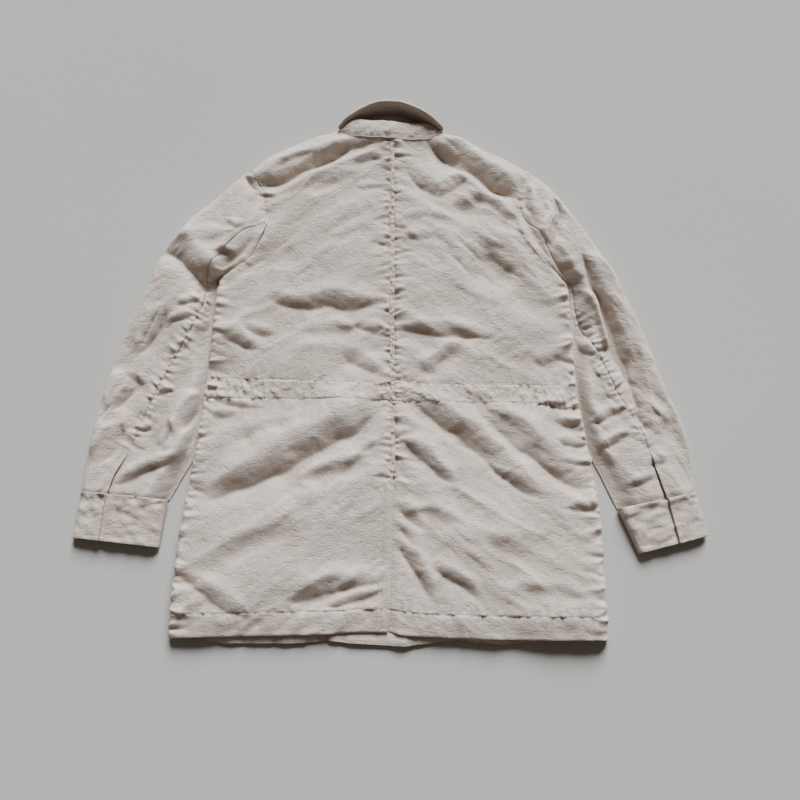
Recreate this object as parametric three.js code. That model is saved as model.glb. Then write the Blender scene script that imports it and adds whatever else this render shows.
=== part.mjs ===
// A parka laid face down on the floor, its back uppermost and its collar towards +Y.
// Millimetres, +Z up. The origin is on the floor, under the middle of the whole outline.
// Left and right are the wearer's, which are also -X and +X here.

import * as THREE from 'three';

// Driving sizes
const CLOTH = 1.3;               // one layer of crisp shell cloth with its seam allowances
const COLLAR_CLOTH = 2.0;        // collar and cuffs are made double
const SEAM_GAP = 0.35;           // between two pieces that are sewn together
const RIM = 2.0;                 // height at which a top layer comes down to the layer below it
const SIDE_ROLL = 20;            // width over which a top layer rolls down to its side seam
const SLEEVE_ROLL = 16;          // width over which a sleeve rolls round its outer edge
const SLEEVE_EDGE = 5;           // height of a sleeve's outer edge above the floor
const SLEEVE_INNER = 18;         // height of a sleeve's cloth beside the body, below the underarm
const EDGE_POINTS = [3, 8];      // distances from a sleeve's outer edge of its points underneath
const SLIT_HALF = 0.6;           // half of a cuff's slit
const CASING_CLOTH = 1.0;        // waist casing, a strip stitched flat on the back
const FRONT_LEFT_EDGE = 21;      // free edge of the left front, which lies on the floor
const FRONT_RIGHT_EDGE = -92;    // free edge of the right front, which lies on the left one
const LAP_STEP = 12;             // width in which the right front climbs onto the left one
const VENT_TOP = -186;           // top of the vent in the centre back seam
const VENT_UNDERLAP = 58;        // how far the right back reaches under the left one there
const VENT_STEP = 13;            // width beside the seam in which it drops to pass under
const VENT_DROP = 3.4;           // height by which it passes below the left back
const VENT_RUN = 34;             // length below the vent's top over which the underlap widens
const CLOTH_COLOUR = 0xb9aea2;   // stone beige
const CLOTH_ROUGHNESS = 0.62;

// The back from the shoulders to the hem. Each row runs from the centre seam (midX, midY) to the
// left and right edges. centre, middle and side are heights of the cloth above the floor.
// closed is 0 along the armhole and 1 where back and front are sewn together at the side.
const BODY_ROWS = [
  { name: 'shoulder seam', midX: 0, midY: 376, leftX: -236, leftY: 322, rightX: 226, rightY: 325,
    centre: 34, middle: 17, side: 15, closed: 0, steps: 3 },
  { name: 'shoulder blade', midX: 0, midY: 345, leftX: -215, leftY: 300, rightX: 217, rightY: 300,
    centre: 30, middle: 20, side: 17, closed: 0, steps: 2 },
  { name: 'upper armhole', midX: 0, midY: 300, leftX: -206, leftY: 271, rightX: 212, rightY: 271,
    centre: 26, middle: 24, side: 19, closed: 0, steps: 2 },
  { name: 'narrowest back', midX: 0, midY: 250, leftX: -202, leftY: 236, rightX: 211, rightY: 236,
    centre: 24, middle: 26, side: 21, closed: 0, steps: 1 },
  { name: 'lower armhole', midX: 0, midY: 220, leftX: -210, leftY: 211, rightX: 217, rightY: 211,
    centre: 23, middle: 26, side: 21, closed: 0, steps: 1 },
  { name: 'armhole turn', midX: 0, midY: 192, leftX: -223, leftY: 184, rightX: 230, rightY: 187,
    centre: 22, middle: 26, side: 19, closed: 0.05, steps: 1 },
  { name: 'armhole foot', midX: 1, midY: 170, leftX: -242, leftY: 162, rightX: 246, rightY: 168,
    centre: 22, middle: 26, side: 18, closed: 0.2, steps: 1 },
  { name: 'near underarm', midX: 1, midY: 148, leftX: -262, leftY: 150, rightX: 264, rightY: 150,
    centre: 22, middle: 26, side: 18, closed: 0.55, steps: 1 },
  { name: 'underarm', midX: 1, midY: 130, leftX: -277, leftY: 136, rightX: 281, rightY: 132,
    centre: 21, middle: 26, side: 18, closed: 1, steps: 2 },
  { name: 'chest', midX: 1, midY: 98, leftX: -281, leftY: 104, rightX: 287, rightY: 104,
    centre: 21, middle: 25, side: 19, closed: 1, steps: 3 },
  { name: 'above waist', midX: 2, midY: 40, leftX: -285, leftY: 40, rightX: 290, rightY: 40,
    centre: 20, middle: 22, side: 17, closed: 1, steps: 4 },
  { name: 'casing top', midX: 3, midY: -32, leftX: -290, leftY: -24, rightX: 293, rightY: -36,
    centre: 18, middle: 19, side: 15, closed: 1, steps: 1 },
  { name: 'casing middle', midX: 3, midY: -46, leftX: -292, leftY: -40, rightX: 295, rightY: -52,
    centre: 18, middle: 19, side: 15, closed: 1, steps: 1 },
  { name: 'casing foot', midX: 3, midY: -60, leftX: -294, leftY: -56, rightX: 297, rightY: -67,
    centre: 18, middle: 19, side: 15, closed: 1, steps: 3 },
  { name: 'upper hip', midX: 4, midY: -120, leftX: -301, leftY: -120, rightX: 306, rightY: -120,
    centre: 19, middle: 22, side: 17, closed: 1, steps: 3 },
  { name: 'hip', midX: 4, midY: -186, leftX: -311, leftY: -186, rightX: 317, rightY: -186,
    centre: 19, middle: 24, side: 19, closed: 1, steps: 4 },
  { name: 'seat', midX: 3, midY: -262, leftX: -321, leftY: -262, rightX: 323, rightY: -262,
    centre: 19, middle: 25, side: 21, closed: 1, steps: 3 },
  { name: 'above hem', midX: 1, midY: -330, leftX: -327, leftY: -330, rightX: 324, rightY: -330,
    centre: 17, middle: 24, side: 22, closed: 1, steps: 2 },
  { name: 'hem stitching', midX: 0, midY: -376, leftX: -330, leftY: -378, rightX: 325, rightY: -382,
    centre: 15, middle: 23, side: 23, closed: 1, steps: 2 },
  { name: 'hem', midX: -3, midY: -410, leftX: -331, leftY: -418, rightX: 326, rightY: -421,
    centre: 13.5, middle: 22, side: 24, closed: 1, steps: 0 },
];
const UNDERARM_ROW = 8;
const SHARED_ROW = 9;            // down to this row a sleeve follows the body's edge
const CASING_TOP_ROW = 11;
const CASING_FOOT_ROW = 13;

// Upper edge of the back: collar seam across the neck, then the shoulder seams.
const BACK_TOP = [
  { x: -236, y: 322 }, { x: -213, y: 342 }, { x: -184, y: 360 }, { x: -151, y: 377 },
  { x: -119, y: 391 }, { x: -90, y: 396 }, { x: -67, y: 382 }, { x: -34, y: 377 },
  { x: 0, y: 376 }, { x: 31, y: 376 }, { x: 64, y: 380 }, { x: 88, y: 391 },
  { x: 115, y: 385 }, { x: 148, y: 367 }, { x: 181, y: 351 }, { x: 213, y: 332 },
  { x: 226, y: 325 },
];
const NECK_HALF_WIDTH = 89;      // from the centre back to the inner end of a shoulder seam

// Front collar, standing as an arch: its plan and the height of its upper edge.
const COLLAR_ARCH = [
  { x: -87.5, y: 397.5, top: 26 }, { x: -73, y: 408, top: 34 }, { x: -54, y: 419, top: 41 },
  { x: -35, y: 427, top: 45 }, { x: -16, y: 431, top: 46 }, { x: 0, y: 431.5, top: 46 },
  { x: 15, y: 430, top: 46 }, { x: 31, y: 425, top: 45 }, { x: 48, y: 418, top: 43 },
  { x: 65, y: 409, top: 38 }, { x: 80, y: 398, top: 31 }, { x: 86.5, y: 394, top: 26 },
];

// Back collar, a crumpled band that leans over towards the arch and turns in at its upper edge.
// north is the distance from the collar seam, and height is above the floor, at the centre.
const COLLAR_BAND = [
  { north: 0.5, height: 34 }, { north: 7, height: 37.5 }, { north: 15, height: 38 },
  { north: 22, height: 37 }, { north: 27, height: 34 }, { north: 28.5, height: 29 },
  { north: 27, height: 23 },
];
const COLLAR_END_HEIGHT = 25;    // height of the band at the shoulder seams
const COLLAR_BAND_HALF = 78;     // half the band's length
const COLLAR_BAND_DEPTH = 29;    // room in plan that the full band takes
const COLLAR_ROOM = 5.2;         // from the arch's outer face to the band
const COLLAR_WAVE = 1.2;         // height of the band's crumples
const COLLAR_WAVE_TURN = 9;      // their turn along half the band, in radians

// Lower edge of the fronts, which shows below the back's hem.
const FRONT_HEM = [
  { x: -331, y: -420 }, { x: -246, y: -427 }, { x: -142, y: -427 }, { x: -92, y: -423 },
  { x: -60, y: -427 }, { x: 21, y: -431.5 }, { x: 95, y: -423 }, { x: 120, y: -425 },
  { x: 165, y: -429 }, { x: 205, y: -427 }, { x: 326, y: -423 },
];

// Lower edge of the back.
const BACK_HEM = [
  { x: -331, y: -418 }, { x: -203, y: -415 }, { x: -92, y: -413 }, { x: -58, y: -410 },
  { x: -3, y: -410 }, { x: 24, y: -415 }, { x: 89, y: -418 }, { x: 138, y: -420 },
  { x: 234, y: -421 }, { x: 326, y: -421 },
];

// Sleeves. The first rows, down to SHARED_ROW, start on the body's edge at the body's rows, and
// the others at innerX, innerY. seam is the back seam's place across the sleeve, from 0 at the
// inner edge to 1 at the outer one, and crown is the height of the cloth above the floor.
const SLEEVE_ROWS = {
  left: [
    { outerX: -243, outerY: 321, seam: 0, crown: 13, steps: 1 },
    { outerX: -266, outerY: 300, seam: 0, crown: 18, steps: 2 },
    { outerX: -291, outerY: 276, seam: 0, crown: 22, steps: 2 },
    { outerX: -312, outerY: 256, seam: 0, crown: 25, steps: 1 },
    { outerX: -331, outerY: 239, seam: 0.24, crown: 27, steps: 1 },
    { outerX: -347, outerY: 216, seam: 0.32, crown: 27, steps: 1 },
    { outerX: -358, outerY: 204, seam: 0.3, crown: 27, steps: 1 },
    { outerX: -369, outerY: 187, seam: 0.24, crown: 27, steps: 1 },
    { outerX: -379, outerY: 165, seam: 0.18, crown: 27, steps: 1 },
    { outerX: -393, outerY: 126, seam: 0.16, crown: 26, steps: 2 },
    { innerX: -287.5, innerY: 56, outerX: -411, outerY: 84, seam: 0.22, crown: 23, steps: 2 },
    { innerX: -291, innerY: 4, outerX: -428, outerY: 36, seam: 0.34, crown: 20, steps: 3 },
    { innerX: -296.5, innerY: -52, outerX: -447, outerY: -30, seam: 0.46, crown: 20, steps: 3 },
    { innerX: -304, innerY: -112, outerX: -463, outerY: -102, seam: 0.56, crown: 20, steps: 2 },
    { innerX: -310, innerY: -150, outerX: -470, outerY: -145, seam: 0.62, crown: 19, steps: 2 },
    { innerX: -326, innerY: -185, outerX: -474, outerY: -176, seam: 0.67, crown: 18, steps: 1 },
    { innerX: -342, innerY: -215, outerX: -477, outerY: -202, seam: 0.68, crown: 18, steps: 0 },
  ],
  right: [
    { outerX: 233, outerY: 321, seam: 0, crown: 13, steps: 1 },
    { outerX: 254, outerY: 305, seam: 0, crown: 18, steps: 2 },
    { outerX: 275, outerY: 281, seam: 0, crown: 22, steps: 2 },
    { outerX: 294, outerY: 253, seam: 0.1, crown: 25, steps: 1 },
    { outerX: 309, outerY: 232, seam: 0.26, crown: 26, steps: 1 },
    { outerX: 323, outerY: 212, seam: 0.24, crown: 26, steps: 1 },
    { outerX: 337, outerY: 190, seam: 0.18, crown: 26, steps: 1 },
    { outerX: 350, outerY: 167, seam: 0.14, crown: 26, steps: 1 },
    { outerX: 363, outerY: 144, seam: 0.12, crown: 26, steps: 1 },
    { outerX: 376, outerY: 114, seam: 0.12, crown: 25, steps: 2 },
    { innerX: 293, innerY: 56, outerX: 392, outerY: 78, seam: 0.14, crown: 23, steps: 2 },
    { innerX: 294.5, innerY: 5, outerX: 409, outerY: 34, seam: 0.33, crown: 20, steps: 3 },
    { innerX: 299, innerY: -52, outerX: 429, outerY: -28, seam: 0.43, crown: 20, steps: 3 },
    { innerX: 306.5, innerY: -104, outerX: 454, outerY: -90, seam: 0.54, crown: 20, steps: 2 },
    { innerX: 314, innerY: -144, outerX: 465, outerY: -130, seam: 0.56, crown: 19, steps: 2 },
    { innerX: 331, innerY: -186, outerX: 468, outerY: -168, seam: 0.58, crown: 18, steps: 1 },
    { innerX: 350, innerY: -228, outerX: 471, outerY: -203, seam: 0.6, crown: 18, steps: 0 },
  ],
};

// Cuffs, open below, with their slit in line with the sleeve's back seam.
const CUFF_ROWS = {
  left: [
    { innerX: -343, innerY: -216, outerX: -477, outerY: -203.5, seam: 0.68, crown: 18 },
    { innerX: -348, innerY: -250, outerX: -482, outerY: -238, seam: 0.67, crown: 18 },
    { innerX: -353, innerY: -286, outerX: -486.5, outerY: -271, seam: 0.67, crown: 18 },
  ],
  right: [
    { innerX: 350.5, innerY: -229, outerX: 472, outerY: -204, seam: 0.6, crown: 18 },
    { innerX: 364, innerY: -260, outerX: 480, outerY: -236, seam: 0.58, crown: 18 },
    { innerX: 379, innerY: -295, outerX: 486.5, outerY: -268, seam: 0.56, crown: 18 },
  ],
};

// The largest folds. Each is a slope between a crest on its left hand and a trough on its right,
// seen along the line from its start over its middle to its end.
const FOLDS = [
  { name: 'left shoulder', start: [-227, 303], middle: [-140, 345], end: [-15, 372], half: 15, drop: 11 },
  { name: 'right shoulder', start: [75, 380], middle: [137, 328], end: [216, 262], half: 15, drop: 12 },
  { name: 'left blade', start: [-192, 124], middle: [-128, 92], end: [-7, 102], half: 12, drop: 8 },
  { name: 'left blade, upper', start: [-145, 304], middle: [-60, 310], end: [2, 303], half: 9, drop: 5 },
  { name: 'left blade, lower', start: [-146, 53], middle: [-96, 55], end: [-40, 62], half: 9, drop: 4 },
  { name: 'left side', start: [-272, 58], middle: [-241, 40], end: [-196, 18], half: 9, drop: 6 },
  { name: 'left hip', start: [-285, -209], middle: [-154, -143], end: [-7, -58], half: 16, drop: 10 },
  { name: 'left hip, lower', start: [-134, -180], middle: [-83, -164], end: [-37, -146], half: 9, drop: 4 },
  { name: 'left hem', start: [-320, -322], middle: [-262, -352], end: [-205, -387], half: 11, drop: 9 },
  { name: 'left hem, 2', start: [-164, -360], middle: [-110, -358], end: [-55, -328], half: 11, drop: 7 },
  { name: 'neck, first', start: [26, 334], middle: [54, 304], end: [84, 280], half: 9, drop: 7 },
  { name: 'neck, second', start: [84, 284], middle: [100, 299], end: [126, 314], half: 8, drop: 6 },
  { name: 'right blade, soft', start: [129, 236], middle: [176, 186], end: [250, 134], half: 22, drop: 8 },
  { name: 'right blade', start: [8, 57], middle: [82, 54], end: [156, 40], half: 11, drop: 6 },
  { name: 'right blade, lower', start: [39, -14], middle: [79, 9], end: [119, 36], half: 10, drop: 4 },
  { name: 'right hip', start: [32, -62], middle: [134, -136], end: [232, -212], half: 13, drop: 7 },
  { name: 'right hip, outer', start: [145, -98], middle: [223, -140], end: [290, -198], half: 12, drop: 7 },
  { name: 'right hip, lower', start: [20, -139], middle: [55, -169], end: [92, -206], half: 10, drop: 5 },
  { name: 'beside the vent', start: [6, -292], middle: [32, -325], end: [56, -372], half: 11, drop: 7 },
  { name: 'right hem', start: [58, -335], middle: [100, -346], end: [146, -370], half: 11, drop: 7 },
  { name: 'left underarm', start: [-349, 204], middle: [-312, 168], end: [-284, 138], half: 13, drop: 10 },
  { name: 'left sleeve', start: [-396, 22], middle: [-372, 62], end: [-346, 104], half: 9, drop: 4 },
  { name: 'left forearm', start: [-428, -198], middle: [-378, -175], end: [-330, -150], half: 11, drop: 8 },
  { name: 'right sleeve', start: [322, 184], middle: [358, 90], end: [380, -38], half: 15, drop: 9 },
  { name: 'right forearm', start: [360, -194], middle: [380, -186], end: [402, -174], half: 9, drop: 5 },
];
const FOLD_POINTS = 10;          // short straight lengths that a fold's line is measured by

// How finely each sheet is divided
const BACK_COLUMNS = 15;
const FRONT_COLUMNS = 5;
const COLLAR_STEPS = 24;
const CUFF_STEPS = 3;

/** Value at share t between a and b. */
function between(a, b, t) {
  return a + (b - a) * t;
}

/** Smooth step from 0 at low to 1 at high. */
function smooth(low, high, value) {
  const t = Math.min(Math.max((value - low) / (high - low), 0), 1);
  return t * t * (3 - 2 * t);
}

/** Quarter round: 0 at an edge, 1 at the roll's full width from it. */
function roll(distance, width) {
  const t = 1 - Math.min(Math.max(distance / width, 0), 1);
  return Math.sqrt(Math.max(1 - t * t, 0));
}

/** Catmull-Rom value of a table's column at a row that may be a fraction. */
function column(table, key, row) {
  const last = table.length - 1;
  const i = Math.min(Math.floor(row), last - 1);
  const t = row - i;
  const value = (k) => table[Math.min(Math.max(k, 0), last)][key];
  const [a, b, c, d] = [value(i - 1), value(i), value(i + 1), value(i + 2)];
  const bend = 2 * a - 5 * b + 4 * c - d + (3 * (b - c) + d - a) * t;
  return b + 0.5 * t * (c - a + t * bend);
}

/** Value of a key on a line of points at the given x. */
function alongX(line, key, x) {
  const i = Math.min(Math.max(line.findIndex((p) => p.x > x), 1), line.length - 1);
  const end = x >= line[line.length - 1].x;
  const [a, b] = end ? line.slice(-2) : [line[i - 1], line[i]];
  const t = Math.min(Math.max((x - a.x) / (b.x - a.x), 0), 1);
  return between(a[key], b[key], t);
}

/** Rows of a table with the steps that it asks for between them. */
function rowList(table) {
  return table.flatMap((row, i) =>
    Array.from({ length: Math.max(row.steps, 1) }, (_, k) => i + k / Math.max(row.steps, 1)));
}

/** Points of a fold's line, on one smooth bend through its start, middle and end. */
function foldLine({ start, middle, end }) {
  const control = [0, 1].map((k) => 2 * middle[k] - (start[k] + end[k]) / 2);
  return Array.from({ length: FOLD_POINTS + 1 }, (_, i) => {
    const t = i / FOLD_POINTS;
    return [0, 1].map((k) =>
      (1 - t) ** 2 * start[k] + 2 * t * (1 - t) * control[k] + t ** 2 * end[k]);
  });
}

const FOLD_LINES = FOLDS.map((fold) => ({ ...fold, line: foldLine(fold) }));

/** Height that one fold adds at x, y. */
function foldHeight(fold, x, y) {
  let nearest = { away: Infinity, signed: 0, place: 0 };
  for (let i = 0; i < FOLD_POINTS; i += 1) {
    const [ax, ay] = fold.line[i];
    const [dx, dy] = [fold.line[i + 1][0] - ax, fold.line[i + 1][1] - ay];
    const t = Math.min(Math.max(((x - ax) * dx + (y - ay) * dy) / (dx * dx + dy * dy), 0), 1);
    const [ox, oy] = [x - ax - t * dx, y - ay - t * dy];
    const away = Math.hypot(ox, oy);
    if (away < nearest.away) {
      const signed = Math.sign(dx * oy - dy * ox) * away;
      nearest = { away, signed, place: (i + t) / FOLD_POINTS };
    }
  }
  const off = nearest.signed / fold.half;
  const taper = smooth(0, 0.3, nearest.place) * smooth(0, 0.3, 1 - nearest.place);
  return 0.5 * fold.drop * taper * off * Math.exp((1 - off * off) / 2);
}

/** Height that all folds add at x, y. */
function folds(x, y) {
  return FOLD_LINES.reduce((sum, fold) => sum + foldHeight(fold, x, y), 0);
}

/** Place in plan of the body's row at the given x, on the side that the row's edge belongs to. */
function bodyPlan(side, x, row, top, hem) {
  const seam = column(BODY_ROWS, 'midX', row);
  const u = Math.max((x - seam) / (column(BODY_ROWS, `${side}X`, row) - seam), 0);
  const straight = between(column(BODY_ROWS, 'midY', row), column(BODY_ROWS, `${side}Y`, row), u);
  const first = BODY_ROWS[0];
  const last = BODY_ROWS[BODY_ROWS.length - 1];
  const firstX = between(first.midX, first[`${side}X`], u);
  const lastX = between(last.midX, last[`${side}X`], u);
  const topLift = alongX(top, 'y', firstX) - between(first.midY, first[`${side}Y`], u);
  const hemLift = alongX(hem, 'y', lastX) - between(last.midY, last[`${side}Y`], u);
  const nearTop = 1 - smooth(0, UNDERARM_ROW, row);
  const nearHem = smooth(BODY_ROWS.length - 4, BODY_ROWS.length - 1, row);
  return { x, y: straight + topLift * nearTop + hemLift * nearHem };
}

/** 0 at the neck and 1 along the shoulder seams, where the back rolls down to the front. */
function onShoulder(x) {
  return smooth(NECK_HALF_WIDTH - 8, NECK_HALF_WIDTH + 14, Math.abs(x));
}

/** Height of the back's outer face at a place in plan on one row. */
function backHeight(side, row, { x, y }) {
  const [centre, middle, edge] = ['centre', 'middle', 'side'].map((k) => column(BODY_ROWS, k, row));
  const seam = column(BODY_ROWS, 'midX', row);
  const reach = column(BODY_ROWS, `${side}X`, row) - seam;
  const u = Math.min(Math.abs((x - seam) / reach), 1);
  const crown = centre * (1 - u) * (1 - 2 * u) + middle * 4 * u * (1 - u) + edge * u * (2 * u - 1);
  const width = Math.abs(reach) * (1 - u);
  const closed = Math.min(Math.max(column(BODY_ROWS, 'closed', row), 0), 1);
  const sideRoll = 1 - closed * (1 - roll(width, SIDE_ROLL));
  const below = alongX(BACK_TOP, 'y', x) - y;
  const topRoll = 1 - onShoulder(x) * (1 - roll(below, SIDE_ROLL / 2));
  const foldRoll = roll(width, SIDE_ROLL * 2) * closed + 1 - closed;
  return RIM + (crown - RIM + folds(x, y) * foldRoll) * sideRoll * topRoll;
}

/** Solid of a sheet from its outer and inner points, both rows of the same columns. */
function wall(outer, inner) {
  const rows = outer.length;
  const columns = outer[0].length;
  const points = [...outer.flat(), ...inner.flat()];
  const at = (layer, i, j) => (layer * rows + i) * columns + j;
  const index = [];
  const quad = (a, b, c, d) => index.push(a, b, c, a, c, d);
  for (let i = 0; i < rows - 1; i += 1) {
    for (let j = 0; j < columns - 1; j += 1) {
      quad(at(0, i, j), at(0, i + 1, j), at(0, i + 1, j + 1), at(0, i, j + 1));
      quad(at(1, i, j), at(1, i, j + 1), at(1, i + 1, j + 1), at(1, i + 1, j));
    }
  }
  const rim = [
    ...Array.from({ length: columns - 1 }, (_, j) => [0, j]),
    ...Array.from({ length: rows - 1 }, (_, i) => [i, columns - 1]),
    ...Array.from({ length: columns - 1 }, (_, j) => [rows - 1, columns - 1 - j]),
    ...Array.from({ length: rows - 1 }, (_, i) => [rows - 1 - i, 0]),
  ];
  rim.forEach(([i, j], k) => {
    const [p, q] = rim[(k + 1) % rim.length];
    quad(at(0, i, j), at(0, p, q), at(1, p, q), at(1, i, j));
  });
  const geometry = new THREE.BufferGeometry();
  const numbers = points.flatMap((p) => [p.x, p.y, p.z]);
  geometry.setAttribute('position', new THREE.Float32BufferAttribute(numbers, 3));
  geometry.setIndex(index);
  return outward(geometry);
}

/** Turns the faces round when they point into the solid. */
function outward(geometry) {
  const p = geometry.getAttribute('position');
  const index = Array.from(geometry.index.array);
  const corner = (k) => new THREE.Vector3().fromBufferAttribute(p, index[k]);
  let volume = 0;
  for (let k = 0; k < index.length; k += 3) {
    volume += corner(k).dot(corner(k + 1).cross(corner(k + 2)));
  }
  if (volume < 0) {
    index.reverse();
    geometry.setIndex(index);
  }
  geometry.computeVertexNormals();
  return geometry;
}

/** Way into the cloth at each point of a grid: its inward normal, by its neighbours. */
function inward(grid) {
  const rows = grid.length;
  const columns = grid[0].length;
  const vector = (i, j) => new THREE.Vector3(grid[i][j].x, grid[i][j].y, grid[i][j].z);
  return grid.map((line, i) => line.map((_, j) => {
    const [i0, i1] = [Math.max(i - 1, 0), Math.min(i + 1, rows - 1)];
    const [j0, j1] = [Math.max(j - 1, 0), Math.min(j + 1, columns - 1)];
    const down = vector(i1, j).sub(vector(i0, j));
    const side = vector(i, j1).sub(vector(i, j0));
    return down.cross(side).normalize();
  }));
}

/** Grid moved by a distance along a grid of directions. */
function moved(grid, directions, distance) {
  return grid.map((line, i) => line.map((p, j) => ({
    x: p.x + directions[i][j].x * distance,
    y: p.y + directions[i][j].y * distance,
    z: p.z + directions[i][j].z * distance,
  })));
}

const DOWN = new THREE.Vector3(0, 0, -1);

/** One of the two backs: its outer points and the directions into its cloth. */
function backGrid(side) {
  const sign = side === 'left' ? -1 : 1;
  const rows = rowList(BODY_ROWS);
  const grid = rows.map((row) => backColumns(side, row).map((x) => {
    const plan = bodyPlan(side, x, row, BACK_TOP, BACK_HEM);
    return { ...plan, z: backHeight(side, row, plan) - ventDip(side, plan) };
  }));
  const facing = inward(grid).map((line) => line.map((n) => n.multiplyScalar(sign)));
  const into = facing.map((line, i) => line.map((n, j) => {
    const closed = column(BODY_ROWS, 'closed', rows[i]) > 0.9;
    if (j === BACK_COLUMNS && closed) {
      return new THREE.Vector3(-sign, 0, 0);
    }
    if (i === 0) {
      const shoulder = onShoulder(grid[i][j].x);
      return new THREE.Vector3(0, -shoulder, shoulder - 1).normalize();
    }
    const seam = j === 0 || j === BACK_COLUMNS || i === rows.length - 1;
    return seam ? DOWN.clone() : n.multiplyScalar(n.z > 0 ? -1 : 1);
  }));
  return { rows, grid, into };
}

/** X of each point along a back's row. Below the vent's top the right back reaches under the left. */
function backColumns(side, row) {
  const seam = column(BODY_ROWS, 'midX', row);
  const edge = column(BODY_ROWS, `${side}X`, row);
  const fan = (from, count) => Array.from({ length: count + 1 }, (_, k) => {
    const t = k / count;
    return between(from, edge, between(t, Math.sin((t * Math.PI) / 2), 0.3));
  });
  if (side === 'left') {
    return fan(seam - SEAM_GAP / 2, BACK_COLUMNS);
  }
  const lap = smooth(VENT_TOP, VENT_TOP - VENT_RUN, column(BODY_ROWS, 'midY', row));
  const lead = [
    between(SEAM_GAP / 2, -VENT_UNDERLAP, lap),
    between(4, -VENT_UNDERLAP / 2, lap),
    between(8, -1, lap),
  ];
  return [...lead.map((x) => seam + x), ...fan(seam + VENT_STEP, BACK_COLUMNS - lead.length)];
}

/** How far the right back drops to pass under the left one at the vent. */
function ventDip(side, { x, y }) {
  const under = side === 'left' ? 0 : smooth(VENT_STEP, 3, x);
  return VENT_DROP * under * smooth(VENT_TOP + 24, VENT_TOP + 4, y);
}

/** Names a solid and gives it its colour. */
function piece(name, geometry, shade = 1) {
  const colour = new THREE.Color(CLOTH_COLOUR).multiplyScalar(shade);
  const material = new THREE.MeshStandardMaterial({ color: colour, roughness: CLOTH_ROUGHNESS });
  material.metalness = 0;
  const mesh = new THREE.Mesh(geometry, material);
  mesh.name = name;
  return mesh;
}

/** A back and the half of the waist casing that is stitched on it. */
function backPieces(side) {
  const { rows, grid, into } = backGrid(side);
  const back = wall(grid, moved(grid, into, CLOTH));
  const first = rows.indexOf(CASING_TOP_ROW);
  const last = rows.indexOf(CASING_FOOT_ROW);
  const part = (list) => list.slice(first, last + 1).map((line) => line.slice(0, -1));
  const casing = wall(
    moved(part(grid), part(into), -SEAM_GAP - CASING_CLOTH),
    moved(part(grid), part(into), -SEAM_GAP),
  );
  return [piece(`back_${side}`, back), piece(`waist_casing_${side}`, casing, 1.03)];
}

/** Height of the floor layer's underside: the right front climbs onto the left one. */
function frontUnder(side, x) {
  if (side === 'left') {
    return 0;
  }
  return (CLOTH + SEAM_GAP) * smooth(FRONT_LEFT_EDGE + 3 + LAP_STEP, FRONT_LEFT_EDGE + 3, x);
}

/** Upper edge of the fronts: shoulder seams, and the foot of the standing collar between them. */
const FRONT_TOP = [
  ...BACK_TOP.filter((p) => p.x < -NECK_HALF_WIDTH),
  ...COLLAR_ARCH.filter((p) => Math.abs(p.x) < NECK_HALF_WIDTH - 0.5).map(({ x, y }) => ({ x, y })),
  ...BACK_TOP.filter((p) => p.x > NECK_HALF_WIDTH),
];

/** Rows of a flat layer: those of the armhole as on the back, and only the named ones below. */
function plainRows() {
  return rowList(BODY_ROWS).filter((row) => row <= SHARED_ROW || Number.isInteger(row));
}

/** One of the two fronts, flat on the floor or on the other one. */
function frontPiece(side) {
  const free = side === 'left' ? FRONT_LEFT_EDGE : FRONT_RIGHT_EDGE;
  const lapStart = FRONT_LEFT_EDGE + 3;
  const lapEnd = lapStart + LAP_STEP;
  const shared = side === 'left' ? [free, -16, -54, -89] : [free, -54, -16, lapStart, lapEnd, 65, 88];
  const grid = plainRows().map((row) => {
    const edge = column(BODY_ROWS, `${side}X`, row);
    const start = shared[shared.length - 1];
    const fan = Array.from({ length: FRONT_COLUMNS }, (_, k) =>
      between(start, edge, (k + 1) / FRONT_COLUMNS));
    return [...shared, ...fan].map((x) => {
      const { y } = bodyPlan(x < 0 ? 'left' : 'right', x, row, FRONT_TOP, FRONT_HEM);
      return { x, y, z: frontUnder(side, x) + CLOTH };
    });
  });
  const below = grid.map((line) => line.map((p) => ({ ...p, z: p.z - CLOTH })));
  return piece(`front_${side}`, wall(grid, below), 0.97);
}

/** The back collar: a band that leans over and turns in. */
function collarBack() {
  const grid = COLLAR_BAND.map((band) => Array.from({ length: COLLAR_STEPS + 1 }, (_, j) => {
    const t = between(-1, 1, j / COLLAR_STEPS);
    const x = t * COLLAR_BAND_HALF;
    const full = smooth(1, 0.7, Math.abs(t));
    const foot = alongX(BACK_TOP, 'y', x);
    const room = alongX(COLLAR_ARCH, 'y', x) - COLLAR_ROOM - foot;
    const depth = band.north * Math.min(room / COLLAR_BAND_DEPTH, 1);
    const phase = COLLAR_WAVE_TURN * t + band.north * 0.3;
    const wave = COLLAR_WAVE * Math.sin(phase) * Math.min(band.north / 8, 1);
    const middle = band.height + wave;
    const end = between(COLLAR_END_HEIGHT, middle - 6, 0.35);
    return { x, y: foot + SEAM_GAP + depth, z: between(end, middle, full) };
  }));
  const directions = inward(grid);
  const turn = directions[1][COLLAR_STEPS / 2].z > 0 ? -1 : 1;
  const into = directions.map((line, i) => line.map((n) =>
    (i === 0 ? DOWN.clone() : n.multiplyScalar(turn))));
  return piece('collar_back', wall(grid, moved(grid, into, COLLAR_CLOTH)));
}

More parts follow.
